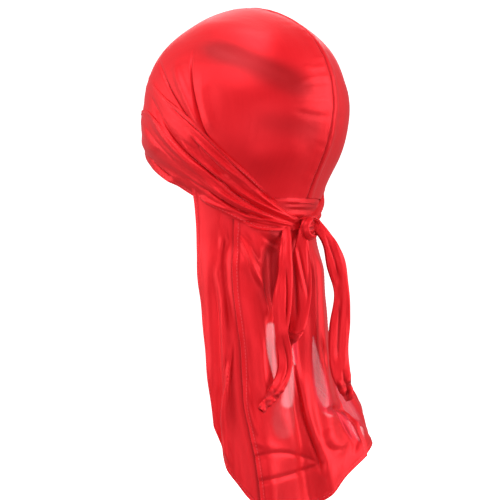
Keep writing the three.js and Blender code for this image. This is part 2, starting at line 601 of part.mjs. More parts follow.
// A tie: a folded strap end swept down its run, thicker at its two edges than in its middle. Its root
// is at the knot, on the wearer's left for a side of 1 and on the right for -1. `sideOn` is the share
// of its half width that it turns to the knot.
function tie(name, run, length, side, sideOn) {
  const { along, around } = TIE_STEPS;
  const curves = curvesOf(run, "down");
  const root = knotCentre();
  root.x += side * (KNOT_HALF_WIDTH + TIE_ROOT_GAP + (sideOn * run[0].width * TIE_WIDTH) / 2);
  root.y += TIE_ROOT_OUT;
  const centre = (share) =>
    new THREE.Vector3(
      root.x + curves.aside(share) * length,
      root.y + curves.out(share) * length,
      root.z - share * length,
    );
  const positions = [];
  const faces = [];
  for (let j = 0; j <= along; j++) {
    const share = j / along;
    const middle = centre(share);
    const down = centre(share + SHARE_STEP).sub(centre(share - SHARE_STEP)).normalize();
    const turn = curves.turn(share) * DEGREE;
    const flat = new THREE.Vector3(Math.cos(turn), -Math.sin(turn), 0);
    const across = flat.cross(down).cross(down).normalize().negate();
    const out = down.clone().cross(across).normalize();
    for (let i = 0; i < around; i++) {
      const a = (2 * Math.PI * i) / around;
      const pinch = 1 - TIE_PINCH_SHARE * gauss(Math.cos(a) / TIE_PINCH_WIDTH_SHARE);
      const w = (curves.width(share) * TIE_WIDTH * Math.cos(a)) / 2;
      const d = (curves.thick(share) * TIE_THICKNESS * Math.sin(a) * pinch) / 2;
      positions.push(...middle.clone().addScaledVector(across, w).addScaledVector(out, d).toArray());
    }
  }
  const id = (i, j) => j * around + (i % around);
  for (let j = 0; j < along; j++)
    for (let i = 0; i < around; i++)
      faces.push(id(i, j), id(i + 1, j + 1), id(i, j + 1), id(i, j), id(i + 1, j), id(i + 1, j + 1));
  for (let i = 1; i < around - 1; i++) {
    faces.push(id(0, 0), id(i + 1, 0), id(i, 0));
    faces.push(id(0, along), id(i, along), id(i + 1, along));
  }
  return clothMesh(name, closedGeometry(positions, faces));
}

const durag = new THREE.Group();
durag.name = "durag";
durag.add(crownHalf("crown_left", 1));
durag.add(crownHalf("crown_right", -1));
durag.add(strap("strap_outer", true));
durag.add(strap("strap_inner", false));
durag.add(capeMain());
durag.add(capeLeft());
durag.add(capeRight());
durag.add(knot());
durag.add(tie("tie_left", TIE_LEFT_RUN, TIE_LEFT_LENGTH, 1, 0.1));
durag.add(tie("tie_right", TIE_RIGHT_RUN, TIE_RIGHT_LENGTH, -1, 0.5));

export default durag;
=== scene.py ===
"""A satin durag in the form it has when worn: crown, crossed straps, knot, hanging ties and a long cape."""

import math
from collections import namedtuple

import bmesh
import bpy
import numpy as np
from bpy.props import FloatProperty, FloatVectorProperty, PointerProperty
from bpy.types import Operator, Panel, PropertyGroup
from mathutils import Matrix, Vector


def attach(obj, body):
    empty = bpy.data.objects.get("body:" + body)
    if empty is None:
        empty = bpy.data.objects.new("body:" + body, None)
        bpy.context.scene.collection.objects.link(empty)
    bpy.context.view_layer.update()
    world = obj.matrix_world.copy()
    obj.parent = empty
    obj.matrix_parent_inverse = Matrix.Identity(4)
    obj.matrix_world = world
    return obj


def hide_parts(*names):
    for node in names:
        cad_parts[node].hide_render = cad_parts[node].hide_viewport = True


bl_info = {
    "name": "Worn satin durag",
    "version": (1, 0, 0),
    "blender": (4, 5, 0),
    "location": "3D View > Sidebar > Durag",
    "description": "Builds a satin durag in its worn form, piece by piece, with its stage",
    "category": "Add Mesh",
}

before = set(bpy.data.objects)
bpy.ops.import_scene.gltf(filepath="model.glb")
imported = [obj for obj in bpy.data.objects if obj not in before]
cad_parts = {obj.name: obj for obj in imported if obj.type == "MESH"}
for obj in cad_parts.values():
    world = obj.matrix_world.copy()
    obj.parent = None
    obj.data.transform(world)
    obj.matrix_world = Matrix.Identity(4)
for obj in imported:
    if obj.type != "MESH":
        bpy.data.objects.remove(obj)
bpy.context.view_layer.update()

MM = 0.001
DEGREE = math.pi / 180
UP = np.array([0, 0, 1.0])
BODY = "root"

Fold = namedtuple("Fold", "line width height lip")

# Head profile. `at` counts down the head, 1 being the nape seam; drop is a share of the crown depth,
# back and front are shares of the half length, side is a share of the half width.
HEAD_DOWN = {
    "at": (0.0, 0.1, 0.2, 0.3, 0.4, 0.5, 0.6, 0.7, 0.8, 0.9, 1.0, 1.1, 1.2, 1.3),
    "drop": (0, 0.042, 0.122, 0.226, 0.355, 0.492, 0.614, 0.716, 0.803, 0.888, 1, 1.1, 1.205, 1.31),
    "back": (0, 0.35, 0.612, 0.806, 0.932, 0.985, 0.974, 0.929, 0.864, 0.786, 0.696, 0.65, 0.634, 0.63),
    "front": (0, 0.34, 0.61, 0.812, 0.934, 0.985, 1, 0.998, 0.98, 0.951, 0.91, 0.876, 0.846, 0.83),
    "side": (0, 0.3, 0.57, 0.79, 0.935, 0.998, 1.004, 0.971, 0.916, 0.855, 0.795, 0.768, 0.753, 0.746),
}
PLAN_ROUNDNESS = 2.15


def past_top(table, even, count=3):
    """The table with its first rows repeated past the top, where all columns but the even one change sign."""
    whole = {}
    for name, column in table.items():
        sign = 1 if name == even else -1
        whole[name] = tuple(sign * v for v in column[count:0:-1]) + column
    return whole


HEAD = past_top(HEAD_DOWN, even="drop")

# Lower edge of the crown in the same count, around one side.
RIM = {"angle": (0, 45, 75, 90, 110, 130, 180), "at": (0.64, 0.66, 0.8, 0.9, 0.975, 1.0, 1.0)}

# Edges of the straps by angle on one side, in the same count. Each strap is low on one side and high on
# the other.
STRAP_EDGES = {
    "angle": (0, 35, 60, 75, 90, 105, 120, 135, 150, 165, 180),
    "low_top": (0.52, 0.535, 0.55, 0.635, 0.79, 0.91, 0.99, 1.045, 1.085, 1.11, 1.125),
    "low_bottom": (0.745, 0.765, 0.885, 0.95, 1.015, 1.07, 1.12, 1.158, 1.172, 1.168, 1.162),
    "high_top": (0.41, 0.39, 0.44, 0.5, 0.58, 0.715, 0.848, 0.94, 1.01, 1.075, 1.125),
    "high_bottom": (0.66, 0.63, 0.69, 0.77, 0.88, 0.97, 1.035, 1.08, 1.12, 1.15, 1.165),
}
STRAP_CROSS_ANGLE = 38
STRAP_STEP_SHARE = 0.05
STRAP_END_ANGLE = 176
STRAP_LIFT_ANGLE = 14
STRAP_AIR = 0.4

# Towards the knot the straps are drawn flat by this share, between these angles.
STRAP_DRAWN_FLAT = 0.5
STRAP_DRAWN_ANGLES = (122, 148)

# Broad pleats of a strap: place across it, width and height as shares, and the angles it is full between.
STRAP_PLEATS = (
    (0.12, 0.1, 0.55, 50, 137),
    (0.38, 0.13, 1.0, 40, 125),
    (0.64, 0.12, 0.8, 25, 133),
    (0.88, 0.09, 0.6, 45, 141),
)
PLEAT_RAMP_ANGLE = 25

# Spread of the hanging cape around the head, by drop as a share of its length.
CAPE_SPREAD = {
    "drop": (0.0, 0.15, 0.3, 0.45, 0.58, 0.67, 0.74, 0.82, 1.0),
    80: (1.02, 1.04, 0.99, 0.96, 0.96, 0.96, 0.96, 0.96, 0.96),
    100: (1.03, 1.07, 1.03, 1.01, 1.02, 1.02, 1.01, 1.0, 0.99),
    120: (1.04, 1.1, 1.13, 1.1, 1.08, 1.07, 1.06, 1.05, 1.03),
    145: (1.01, 1.03, 1.05, 1.1, 1.13, 1.14, 1.14, 1.13, 1.07),
    165: (1.01, 1.03, 1.05, 1.08, 1.1, 1.1, 1.1, 1.08, 1.02),
    185: (1.02, 1.06, 1.1, 1.12, 1.14, 1.15, 1.16, 1.16, 1.14),
    205: (1.05, 1.08, 1.13, 1.18, 1.24, 1.33, 1.42, 1.5, 1.44),
}
CAPE_FAR_SPREAD = {
    "drop": (0.0, 0.3, 0.45, 0.58, 0.67, 0.75, 1.0),
    220: (1.05, 1.13, 1.19, 1.28, 1.48, 1.77, 1.64),
    240: (1.05, 1.13, 1.26, 1.52, 1.8, 1.88, 1.8),
    260: (1.04, 1.1, 1.13, 1.2, 1.3, 1.36, 1.34),
    280: (1.02, 1.04, 1.02, 1.02, 1.03, 1.04, 1.04),
}
CAPE_HEM = {
    "angle": (80, 98, 108, 122, 142, 162, 180, 194, 205, 218, 235, 262, 280),
    "drop": (0.54, 0.65, 0.785, 0.9, 0.985, 1.0, 0.972, 0.94, 0.875, 0.8, 0.755, 0.65, 0.54),
}
PANEL_EDGES = {
    "drop": (0.0, 0.3, 0.47, 0.63, 0.75, 0.87, 1.0),
    "side_front": (86, 88, 92, 98, 101, 104, 106),
    "main_left": (119, 119, 124, 127, 133, 138, 141),
    "main_right": (219, 219, 219, 218, 216, 213, 210),
    "far_front": (270, 270, 267, 262, 258, 255, 252),
}
HEM_EDGE_SHARE = 0.8
PANEL_LAP_ANGLE = 9

# Hanging folds: angles at the top and at the bottom, drops between which each runs, width and height.
CAPE_FOLDS = (
    (124, 146, 0.06, 0.34, 4, 0.4),
    (150, 153, 0.1, 0.5, 6, -0.7),
    (172, 176, 0.16, 0.62, 5, -0.4),
    (197, 196, 0.1, 0.85, 7, 0.45),
    (160, 187, 0.4, 0.98, 6, -0.5),
    (172, 199, 0.5, 1.0, 5, 0.3),
    (134, 152, 0.6, 1.0, 7, 0.25),
    (110, 116, 0.3, 0.95, 4, 0.4),
    (102, 108, 0.25, 0.9, 4, -0.35),
    (232, 230, 0.3, 0.9, 6, -0.5),
    (248, 246, 0.25, 0.9, 6, 0.4),
)

HANGING_FADES = (-0.1, 0.2, 1, 1.2)

# Height of the knot's centre, in the count down the head.
KNOT_AT = 1.16

# Runs of the ties, in shares of their own length, width and thickness; turn is the twist in degrees.
TIE_LEFT = {
    "down": (-0.03, 0.03, 0.1, 0.18, 0.26, 0.38, 0.48, 0.58, 0.7, 0.8, 0.91, 1.0),
    "aside": (0.05, 0.07, 0.1, 0.122, 0.13, 0.158, 0.162, 0.158, 0.13, 0.138, 0.208, 0.296),
    "out": (-0.09, -0.07, -0.05, -0.036, -0.03, -0.028, -0.03, -0.032, -0.032, -0.036, -0.045, -0.067),
    "width": (0.4, 0.48, 0.62, 0.7, 0.76, 0.94, 0.88, 0.72, 0.74, 0.68, 0.66, 0.34),
    "thick": (0.6, 0.7, 0.9, 1.0, 1.1, 1.1, 1.1, 1.2, 1.1, 1.05, 1.2, 0.9),
    "turn": (30, 40, 50, 50, 52, 50, 58, 70, 50, 45, 40, 50),
}
TIE_RIGHT = {
    "down": (-0.03, 0.05, 0.12, 0.21, 0.3, 0.38, 0.54, 0.72, 0.87, 1.0),
    "aside": (0.03, -0.004, -0.018, -0.03, -0.04, -0.048, -0.048, -0.046, -0.06, -0.095),
    "out": (-0.005, 0.05, 0.082, 0.104, 0.123, 0.132, 0.12, 0.11, 0.124, 0.158),
    "width": (0.62, 0.66, 0.82, 1.0, 0.88, 0.84, 1.06, 1.1, 0.95, 0.4),
    "thick": (1.2, 1.3, 1.2, 1.2, 1.3, 1.3, 1.2, 1.1, 1.2, 0.9),
    "turn": (50, 40, 40, 48, 60, 62, 45, 35, 40, 50),
}

# Fold lines. Each has its points, its width and height, and a lip from -1 to 1 that makes one flank steep.
# The points are places in the camera's view, in five-hundredths of the picture's side from its top left
# corner, and so are the widths. Heights are in millimetres. The other side of the head mirrors them.
CROWN_LINES = (
    (((158, 52), (164, 75), (172, 93), (183, 111), (198, 134), (206, 146)), 1.5, -2.56, -0.4),
    (((174, 58), (180, 80), (189, 102), (200, 124), (208, 138)), 4.6, 2.6, 0.3),
    (((195, 48), (191.5, 66), (192, 86), (196, 106), (204, 130), (214, 150), (222, 162)), 1.4, -3.23, -0.4),
    (((206, 70), (203, 90), (207, 112), (216, 134)), 4.5, 1.4, 0),
    (((150, 74), (158, 92), (172, 110), (186, 124)), 2.6, 1.2, 0),
    (((184, 30), (225, 27), (262, 38), (296, 56)), 11, 1.6, 0),
    (((192, 55), (203, 48), (223, 49), (250, 57), (280, 70), (318, 80)), 12, -2.2, -0.2),
    (((212, 92), (245, 90), (282, 100)), 12, 0.4, 0),
    (((246, 112), (286, 123), (336, 128)), 15, -0.9, 0),
    (((240, 160), (275, 158), (312, 150)), 14, 1.2, 0),
    (((296, 83), (312, 78), (334, 77)), 1.8, 0.32, 0.3),
    (((299, 87), (314, 84), (334, 84)), 1.8, -0.44, 0),
    (((303, 95), (317, 96), (335, 93)), 2.0, -0.34, 0),
    (((288, 101), (308, 100), (336, 102)), 2.4, 0.32, 0),
    (((290, 110), (308, 114), (335, 118)), 3.8, -0.6, 0),
    (((300, 66), (314, 68), (328, 66)), 2.4, 0.36, 0),
)
# Broad hollows of the crown, drawn only as painted shade, a deeper colour: points in the camera's view,
# width, strength.
CROWN_SHADES = (
    (((172, 50), (212, 52), (250, 65), (286, 82), (340, 96)), 14, 0.88, 0),
    (((226, 118), (286, 126), (346, 130)), 22, 0.38, 0),
    (((150, 78), (170, 104), (196, 134), (226, 160), (262, 190)), 5, 0.16, 0),
)
STRAP_LINES = (
    (
        (
            (150, 82), (168, 103), (185, 120), (202, 135), (223, 155),
            (247, 178), (268, 196), (286, 209), (302, 221),
        ),
        0.9, -1.5, 0,
    ),
    (
        ((148, 88), (156, 107), (163, 122), (173, 138), (185, 152), (200, 165), (223, 183), (243, 197)),
        1.8, -3.52, 0.3,
    ),
    (((146, 98), (153, 116), (163, 134), (176, 150), (192, 165), (214, 181)), 3.4, 1.8, 0),
    (((190, 135), (201, 152), (213, 165), (230, 180)), 2.9, -3.6, -0.2),
    (((185, 126), (204, 147), (222, 163), (246, 184)), 2.0, 2.4, 0.4),
    (((177, 134), (191, 151), (207, 166), (228, 183)), 1.6, 1.76, 0.3),
    (((224, 178), (250, 197), (272, 209), (300, 223)), 2.0, 2.8, 0.3),
    (((219, 182), (246, 201), (270, 214), (294, 223)), 1.1, -2.24, 0),
    (((203, 180), (228, 198), (252, 210), (284, 221)), 2.2, 2.0, 0.3),
    (((196, 182), (224, 202), (248, 214), (276, 222)), 1.6, -2.4, 0),
    (((146, 152), (153, 161), (161, 169), (175, 180)), 1.2, -3.2, 0.4),
    (((148, 163), (160, 174), (176, 186)), 1.8, 1.2, 0),
    (((238, 214), (255, 218), (272, 221), (296, 226)), 1.2, 2.2, 0.3),
    (((240, 220), (262, 225), (284, 228)), 1.1, -2.6, 0),
    (((243, 225), (262, 230), (282, 235)), 1.6, 2.4, 0.3),
    (((256, 189), (280, 206), (300, 220)), 1.0, -2.2, 0),
    (((250, 186), (277, 208), (299, 222)), 1.6, 2.0, 0),
    (((170, 178), (186, 190), (208, 200)), 5, -1.8, 0),
    (((141, 118), (147, 140), (158, 156)), 5, 1.4, 0),
    (((139, 104), (147, 128), (160, 146), (182, 168)), 1.4, -0.72, 0),
    (((180, 172), (205, 190), (232, 205)), 1.4, -0.98, 0.3),
    (((197, 196), (214, 204), (236, 212)), 1.6, 1.6, 0),
)
NAPE_LINES = (
    (((282, 201.6), (303, 202), (322, 200.6)), 0.9, 0.78, 0.3),
    (((282, 203.8), (303, 204.2), (322, 202.8)), 0.8, -0.9, 0),
    (((283, 206.2), (303, 206.4), (320, 205)), 1.0, 0.6, 0),
    (((288, 209), (302, 210), (318, 208.6)), 1.2, -0.72, 0),
    (((290, 213), (302, 214.5), (316, 212)), 1.6, 0.6, 0),
)

# Fold lines over the forehead. The points are (signed angle, share across the strap), widths millimetres.
FRONT_LINES = (
    (((-80, 0.18), (-30, 0.24), (30, 0.2), (80, 0.18)), 3.0, 0.34, 0.3),
    (((-75, 0.4), (-20, 0.38), (30, 0.44), (75, 0.42)), 3.4, -0.4, 0),
    (((-66, 0.66), (0, 0.6), (66, 0.68)), 3.4, 0.34, -0.3),
    (((-55, 0.82), (0, 0.85), (55, 0.84)), 3.0, -0.36, 0),
)

# Gathers at the front of the crown. The points are (angle, at).
GATHER_LINES = (
    (((14, 0.28), (21, 0.38), (26, 0.56)), 3.4, 1.4, 0),
    (((30, 0.28), (38, 0.38), (43, 0.58)), 2.6, -1.6, 0.4),
    (((-4, 0.26), (4, 0.36), (8, 0.56)), 3.0, -1.2, 0),
)

MAIN_LINES = (
    (((231, 221), (243, 243), (254, 266), (265, 291)), 3.4, 3.4, 0.5),
    (((240, 226), (252, 246), (262, 268)), 3, -2.0, 0),
    (((266, 230), (273, 262), (271, 312)), 11, -3.0, 0),
    (((253, 224), (268, 232), (283, 238)), 3, 1.8, 0.4),
    (((258, 232), (270, 241), (280, 248)), 2.5, -1.6, 0),
    (((311, 244), (314, 290), (315, 345), (320, 398)), 3.6, 2.2, 0.3),
    (((292, 351), (300, 396), (305, 421), (314, 447), (320, 466), (322, 480)), 1.8, -2.6, 0.35),
    (((200, 490), (250, 483), (286, 476), (308, 469), (334, 459)), 2.6, -1.3, 0.2),
    (((300, 380), (309, 418), (322, 450), (327, 468), (316, 483)), 4.4, 1.8, 0),
    (((276, 404), (291, 432), (306, 462)), 9, 1.3, 0),
    (((200, 464), (246, 459), (284, 453), (306, 458), (332, 470)), 2.4, -1.1, 0.2),
    (((320, 432), (335, 441), (350, 450)), 9, 2.4, 0),
    (((320, 434), (332, 426), (344, 429), (350, 438)), 2.6, -0.6, 0),
    (((320, 442), (334, 450), (352, 443)), 2.8, -0.5, 0),
    (((325, 414), (338, 408), (349, 414)), 3, -2.4, 0),
    (((352, 424), (357, 440), (352, 456)), 3, -1.4, 0),
    (((297, 240), (303, 280), (307, 330)), 7, -2.4, 0),
    (((236, 424), (256, 442), (284, 448)), 4, 0.8, 0),
    (((330, 396), (344, 423), (357, 449)), 2.2, -1.8, 0.4),
    (((338, 392), (351, 414), (361, 436)), 2.6, 2.4, 0),
    (((321, 330), (331, 370), (343, 404)), 2.2, -2.6, 0.3),
    (((240, 296), (246, 350), (252, 404)), 6, -1.8, 0),
    (((262, 330), (263, 370), (270, 410)), 4, 1.9, 0),
    (((246, 372), (252, 412), (262, 446)), 3, 1.6, 0.3),
)
# Hollows of the cape beside the ties and under the straps, drawn only as painted shade, a deeper colour.
MAIN_SHADES = (
    (((246, 236), (256, 268), (262, 318)), 11, 0.3, 0),
    (((267, 196), (273, 240), (275, 285), (274, 340)), 8, 0.5, 0),
    (((268, 237), (282, 231), (291, 236)), 5, 0.9, 0),
    (((296, 240), (300, 280), (303, 330)), 5, 0.3, 0),
    (((262, 205), (300, 207), (346, 205)), 7, 0.6, 0),
)
SIDE_LINES = (
    (((234, 336), (228, 370), (225, 408), (227, 453), (234, 474)), 2.4, 3.4, -0.4),
    (((231, 345), (224, 375), (221, 410)), 3, -1.2, 0),
    (((228, 228), (224, 262), (227, 300), (232, 336)), 5, -2.6, -0.4),
    (((206, 236), (209, 290), (213, 350), (218, 410)), 7, 1.6, 0),
    (((214, 210), (218, 240), (216, 276)), 4, -1.2, 0.3),
    (((222, 212), (224, 232), (221, 252)), 2.6, 2.0, 0),
    (((217, 380), (220, 420), (229, 455)), 4, -1.2, 0),
    (((228, 216), (227, 230), (228, 246)), 1.6, 1.6, 0),
)
TIE_LINES = {
    "tie_left": (
        (((286, 262), (287.5, 290), (286, 328)), 1.6, -1.56, 0.4),
        (((285, 240), (280, 272), (278.5, 304), (281, 332)), 2.6, 0.84, 0),
        (((290, 246), (290.5, 290), (288, 326)), 1.5, 0.72, 0),
        (((283.5, 234), (283.5, 250), (281, 268)), 1.4, -0.72, 0),
        (((281, 334), (286, 352), (287, 372), (277, 391)), 1.5, -1.2, 0.3),
        (((290, 346), (291, 366), (281, 390), (267, 403)), 1.6, 0.72, 0),
        (((262, 404), (271, 397), (282, 385)), 2.0, -0.96, 0),
        (((259, 398), (268, 389), (277, 376)), 1.4, -0.72, 0),
    ),
    "tie_left_fold": (
        (((293, 240), (299, 268), (306, 302)), 1.6, 1.2, 0.3),
        (((296, 238), (303, 268), (309, 300)), 1.4, -1.2, 0),
        (((306, 238), (309, 270), (306, 312)), 1.5, -0.96, 0),
        (((292, 250), (296, 290), (297, 326)), 2.2, -1.32, 0),
        (((289, 333), (297, 334), (305, 330)), 1.6, -0.96, 0),
    ),
    "tie_right": (
        (((324, 232), (333, 254), (340, 284)), 1.7, -1.32, 0.3),
        (((331, 232), (339, 255), (344, 286)), 1.6, 0.72, 0),
        (((326, 246), (332, 270), (337, 290)), 1.4, 0.6, 0),
        (((341, 294), (339, 330), (338, 366)), 2.0, -1.56, 0.3),
        (((346, 304), (345, 340), (344, 372)), 1.6, 0.84, 0),
        (((334, 318), (332, 345), (334, 368)), 1.8, 0.72, 0),
        (((342, 368), (347, 386), (350, 397)), 1.6, -1.56, 0),
        (((336, 376), (343, 390), (347, 400)), 1.4, 0.72, 0),
    ),
}

# Sheer places of the cape, which also take painted light from behind: how sheer, and points in the camera's
# view, each with its half width.
SHEER_PLACES = (
    (0.66, ((270.5, 327, 5), (270.5, 336, 5), (271, 350, 4.8), (273.5, 364, 3.8), (276, 384, 1.2))),
    (0.66, ((295, 341, 1.2), (294.5, 352, 3.4), (295, 364, 1.4))),
    (0.66, ((293, 366, 1.0), (290.5, 382, 4.2), (288, 396, 6.6), (287, 402, 7))),
    (0.24, ((286, 402, 8), (284, 414, 13), (283, 430, 10))),
    (1.0, ((312, 336, 0.8), (315, 356, 4), (319, 376, 6.6), (323, 394, 7), (326, 404, 4.5))),
    (0.95, ((335, 376, 1.4), (340, 390, 4.2), (348, 408, 7), (356, 426, 7.5), (361, 438, 4))),
    (0.5, ((336, 408, 1.0), (343, 420, 2.6), (352, 438, 2.0))),
    (0.5, ((321, 388, 8), (326, 402, 9), (330, 412, 6))),
)

# The left tie's second fold hangs beside it, closed at its lower end.
TIE_FOLD = {
    "down": (0.0, 0.1, 0.25, 0.5, 0.75, 0.88, 1.0),
    "aside": (-0.04, -0.02, 0.0, 0.0, 0.03, 0.07, 0.16),
    "out": (-0.05, -0.035, -0.03, -0.03, -0.035, -0.045, -0.075),
    "width": (0.3, 0.62, 0.95, 1.08, 0.95, 0.72, 0.34),
    "thick": (0.8, 0.9, 0.9, 0.8, 0.8, 0.9, 0.6),
    "turn": (50, 50, 50, 50, 52, 54, 56),
}

# Paths of the knot's collars in its half width, depth and height: aside, out and up.
KNOT_COLLARS = (
    (
        (-0.5, 0.2, 1.0), (0.2, 0.75, 1.05), (0.95, 0.75, 0.45), (1.0, 0.75, -0.35), (0.5, 0.85, -0.95),
        (-0.35, 0.85, -1.0), (-1.05, 0.6, -0.65),
    ),
    ((0.9, -0.3, 0.95), (-0.1, 0.3, 1.15), (-0.95, 0.65, 0.75), (-1.15, 0.6, 0.0), (-1.0, 0.3, -0.8)),
)

# Where the ties start: behind the knot's centre and past its side, in millimetres.
TIE_OFF_KNOT = 3.2
TIE_SIDE_GAP = 0.3

# A tie's section: a strap end folded once, open along one edge.
TIE_SECTION = (
    (0.86, -0.3), (0.3, -0.5), (-0.45, -0.46), (-0.9, -0.22), (-1.0, 0.05), (-0.86, 0.36),
    (-0.45, 0.5), (0.0, 0.46), (0.5, 0.4), (1.0, 0.1),
)

# Smooth random waves of the cloth: seed, longest and shortest wave, and height, in millimetres.
RIPPLES = {
    "seam pucker": (5, 16, 7, 0.22),
    "crown": (9, 130, 60, 0.45),
    "cape edge": (21, 60, 22, 0.6),
    "main panel": (31, 70, 28, 0.65),
    "side panel": (31, 70, 28, 0.5),
    "tie": (41, 22, 7, 0.3),
    "tip": (47, 9, 4, 1.0),
}
STREAK_SEED = 11

# Height in millimetres at which a hollow has the full painted shade, the deep colour.
FULL_SHADE_DEPTH = {"crown": 4.6, "strap": 4.2, "cape": 6.5, "tie": 2.0}


def rise(x, low, high):
    """0 below low, 1 above high, and smooth between."""
    share = np.clip((np.asarray(x, float) - low) / (high - low), 0, 1)
    return share * share * (3 - 2 * share)


def within(x, low, full_low, full_high, high):
    """1 between the two inner values, 0 past the outer ones, and smooth between."""
    return rise(x, low, full_low) * (1 - rise(x, full_high, high))


def mix(a, b, share):
    return a + (b - a) * share


def bell(x):
    return np.exp(-np.square(x))


def unit(vectors):
    return vectors / np.maximum(np.linalg.norm(vectors, axis=-1, keepdims=True), 1e-12)


def smooth(xs, ys, x):
    """The smooth curve through points, straight past its ends. ys may hold one column for each x."""
    xs, ys = np.array(xs, float), np.asarray(ys, float)
    n, h = len(xs), np.diff(xs)
    rows, right = np.eye(n), np.zeros_like(ys)
    for i in range(1, n - 1):
        rows[i, i - 1 : i + 2] = h[i - 1], 2 * (h[i - 1] + h[i]), h[i]
        right[i] = 6 * ((ys[i + 1] - ys[i]) / h[i] - (ys[i] - ys[i - 1]) / h[i - 1])
    bend = np.linalg.solve(rows, right.reshape(n, -1)).reshape(ys.shape)
    x = np.asarray(x, float)
    inside = np.clip(x, xs[0], xs[-1])
    i = np.clip(np.searchsorted(xs, inside, side="left") - 1, 0, n - 2)

    def take(table, i):
        return table[i] if table.ndim == 1 else np.take_along_axis(table, i[None], 0)[0]

    first, last = take(ys, i), take(ys, i + 1)
    b = (inside - xs[i]) / h[i]
    a = 1 - b
    bent = ((a**3 - a) * take(bend, i) + (b**3 - b) * take(bend, i + 1)) * h[i] ** 2 / 6
    return a * first + b * last + bent + (x - inside) * (last - first) / h[i]


def smooth_line(points, count):
    """Evenly counted points on the smooth curve through points of any dimension."""
    points = np.array(points, float)
    steps = np.linalg.norm(np.diff(points, axis=0), axis=1)
    along = np.concatenate([[0], np.cumsum(steps)])
    places = np.linspace(0, along[-1], count)
    return np.stack([smooth(along, column, places) for column in points.T], -1)


def read_off(table, name, x):
    """A column of a table at x, which is counted as in the table's first column."""
    return smooth(next(iter(table.values())), table[name], x)


def folded(angle):
    """Angle folded to one side of the head, 0 at the front and 180 at the back."""
    turn = np.mod(angle, 360)
    return np.where(turn > 180, 360 - turn, turn)


def round_power(x):
    return np.sign(x) * np.abs(x) ** (2 / PLAN_ROUNDNESS)


def outward(point, a, b, a_step, b_step):
    """Outward direction of a surface given as point(a, b)."""
    around = point(a + a_step, b) - point(a - a_step, b)
    down = point(a, b + b_step) - point(a, b - b_step)
    return -unit(np.cross(around, down))


def ripple(kind, points, seed_step=0, count=18):
    """Height of a smooth random field over points, from waves of random direction."""
    seed, longest, shortest, height = RIPPLES[kind]
    rng = np.random.default_rng(seed + seed_step)
    total = np.zeros(points.shape[:-1])
    for _ in range(count):
        direction = unit(rng.normal(size=points.shape[-1]))
        length = math.exp(rng.uniform(math.log(shortest), math.log(longest)))
        phase = rng.uniform(0, 2 * math.pi)
        total += np.cos(points @ direction * 2 * math.pi / length + phase)
    return height * (total / math.sqrt(count))


def spaced_grid(first, second):
    """Two fields over a grid, each from its start, end and count."""
    return np.meshgrid(np.linspace(*first), np.linspace(*second), indexing="ij")


LINE_REACH = 3.2
LINE_FADES = (0, 0.3, 0.72, 1)


def relief(points, normals, folds):
    """Height of the fold lines at each point. A line fades in and out at its ends."""
    flat, face = points.reshape(-1, points.shape[-1]), normals.reshape(-1, 3)
    height = np.zeros(len(flat))
    for fold in folds:
        reach = LINE_REACH * fold.width
        near = np.all((flat > fold.line.min(0) - reach) & (flat < fold.line.max(0) + reach), axis=1)
        if not near.any():
            continue
        spots, start, run = flat[near], fold.line[:-1], np.diff(fold.line, axis=0)
        share = np.clip(((spots[:, None] - start) * run).sum(-1) / (run**2).sum(-1), 0, 1)
        away = spots[:, None] - start - share[..., None] * run
        distance = np.linalg.norm(away, axis=-1)
        best, rows = distance.argmin(1), np.arange(len(spots))
        along = (best + share[rows, best]) / len(run)
        side = (np.cross(run[best], away[rows, best]) * face[near]).sum(-1)
        steep = np.where(side * fold.lip < 0, 1 - abs(fold.lip), 1)
        full = within(along, *LINE_FADES)
        height[near] += fold.height * full * bell(distance[rows, best] / (fold.width * steep))
    return height.reshape(points.shape[:-1])


def view_folds(lines):
    """Fold lines given in the camera's view."""
    return [Fold(np.pad(smooth_line(p, 40), ((0, 0), (0, 1))), w, h, lip) for p, w, h, lip in lines]


FACING_FROM = 0.02


def view_relief(form, points, normals, lines, mirrored=True, full_at=0.25):
    """Height of fold lines given in the camera's view, and how far each point faces the camera."""
    flip = np.where((points[..., :1] < 0) & mirrored, -1, 1) * np.array([1, 0, 0]) + np.array([0, 1, 1])
    facing = rise((normals * flip) @ camera_frame(form)[0], FACING_FROM, full_at)
    ahead = np.zeros_like(points) + UP
    return relief(form.seen(points * flip), ahead, view_folds(lines)) * facing, facing


# Nearest place to the top at which the way out of the head is read, and where it turns from straight up.
NEAR_TOP = 0.01
TOP_TURN = (0.004, 0.03)


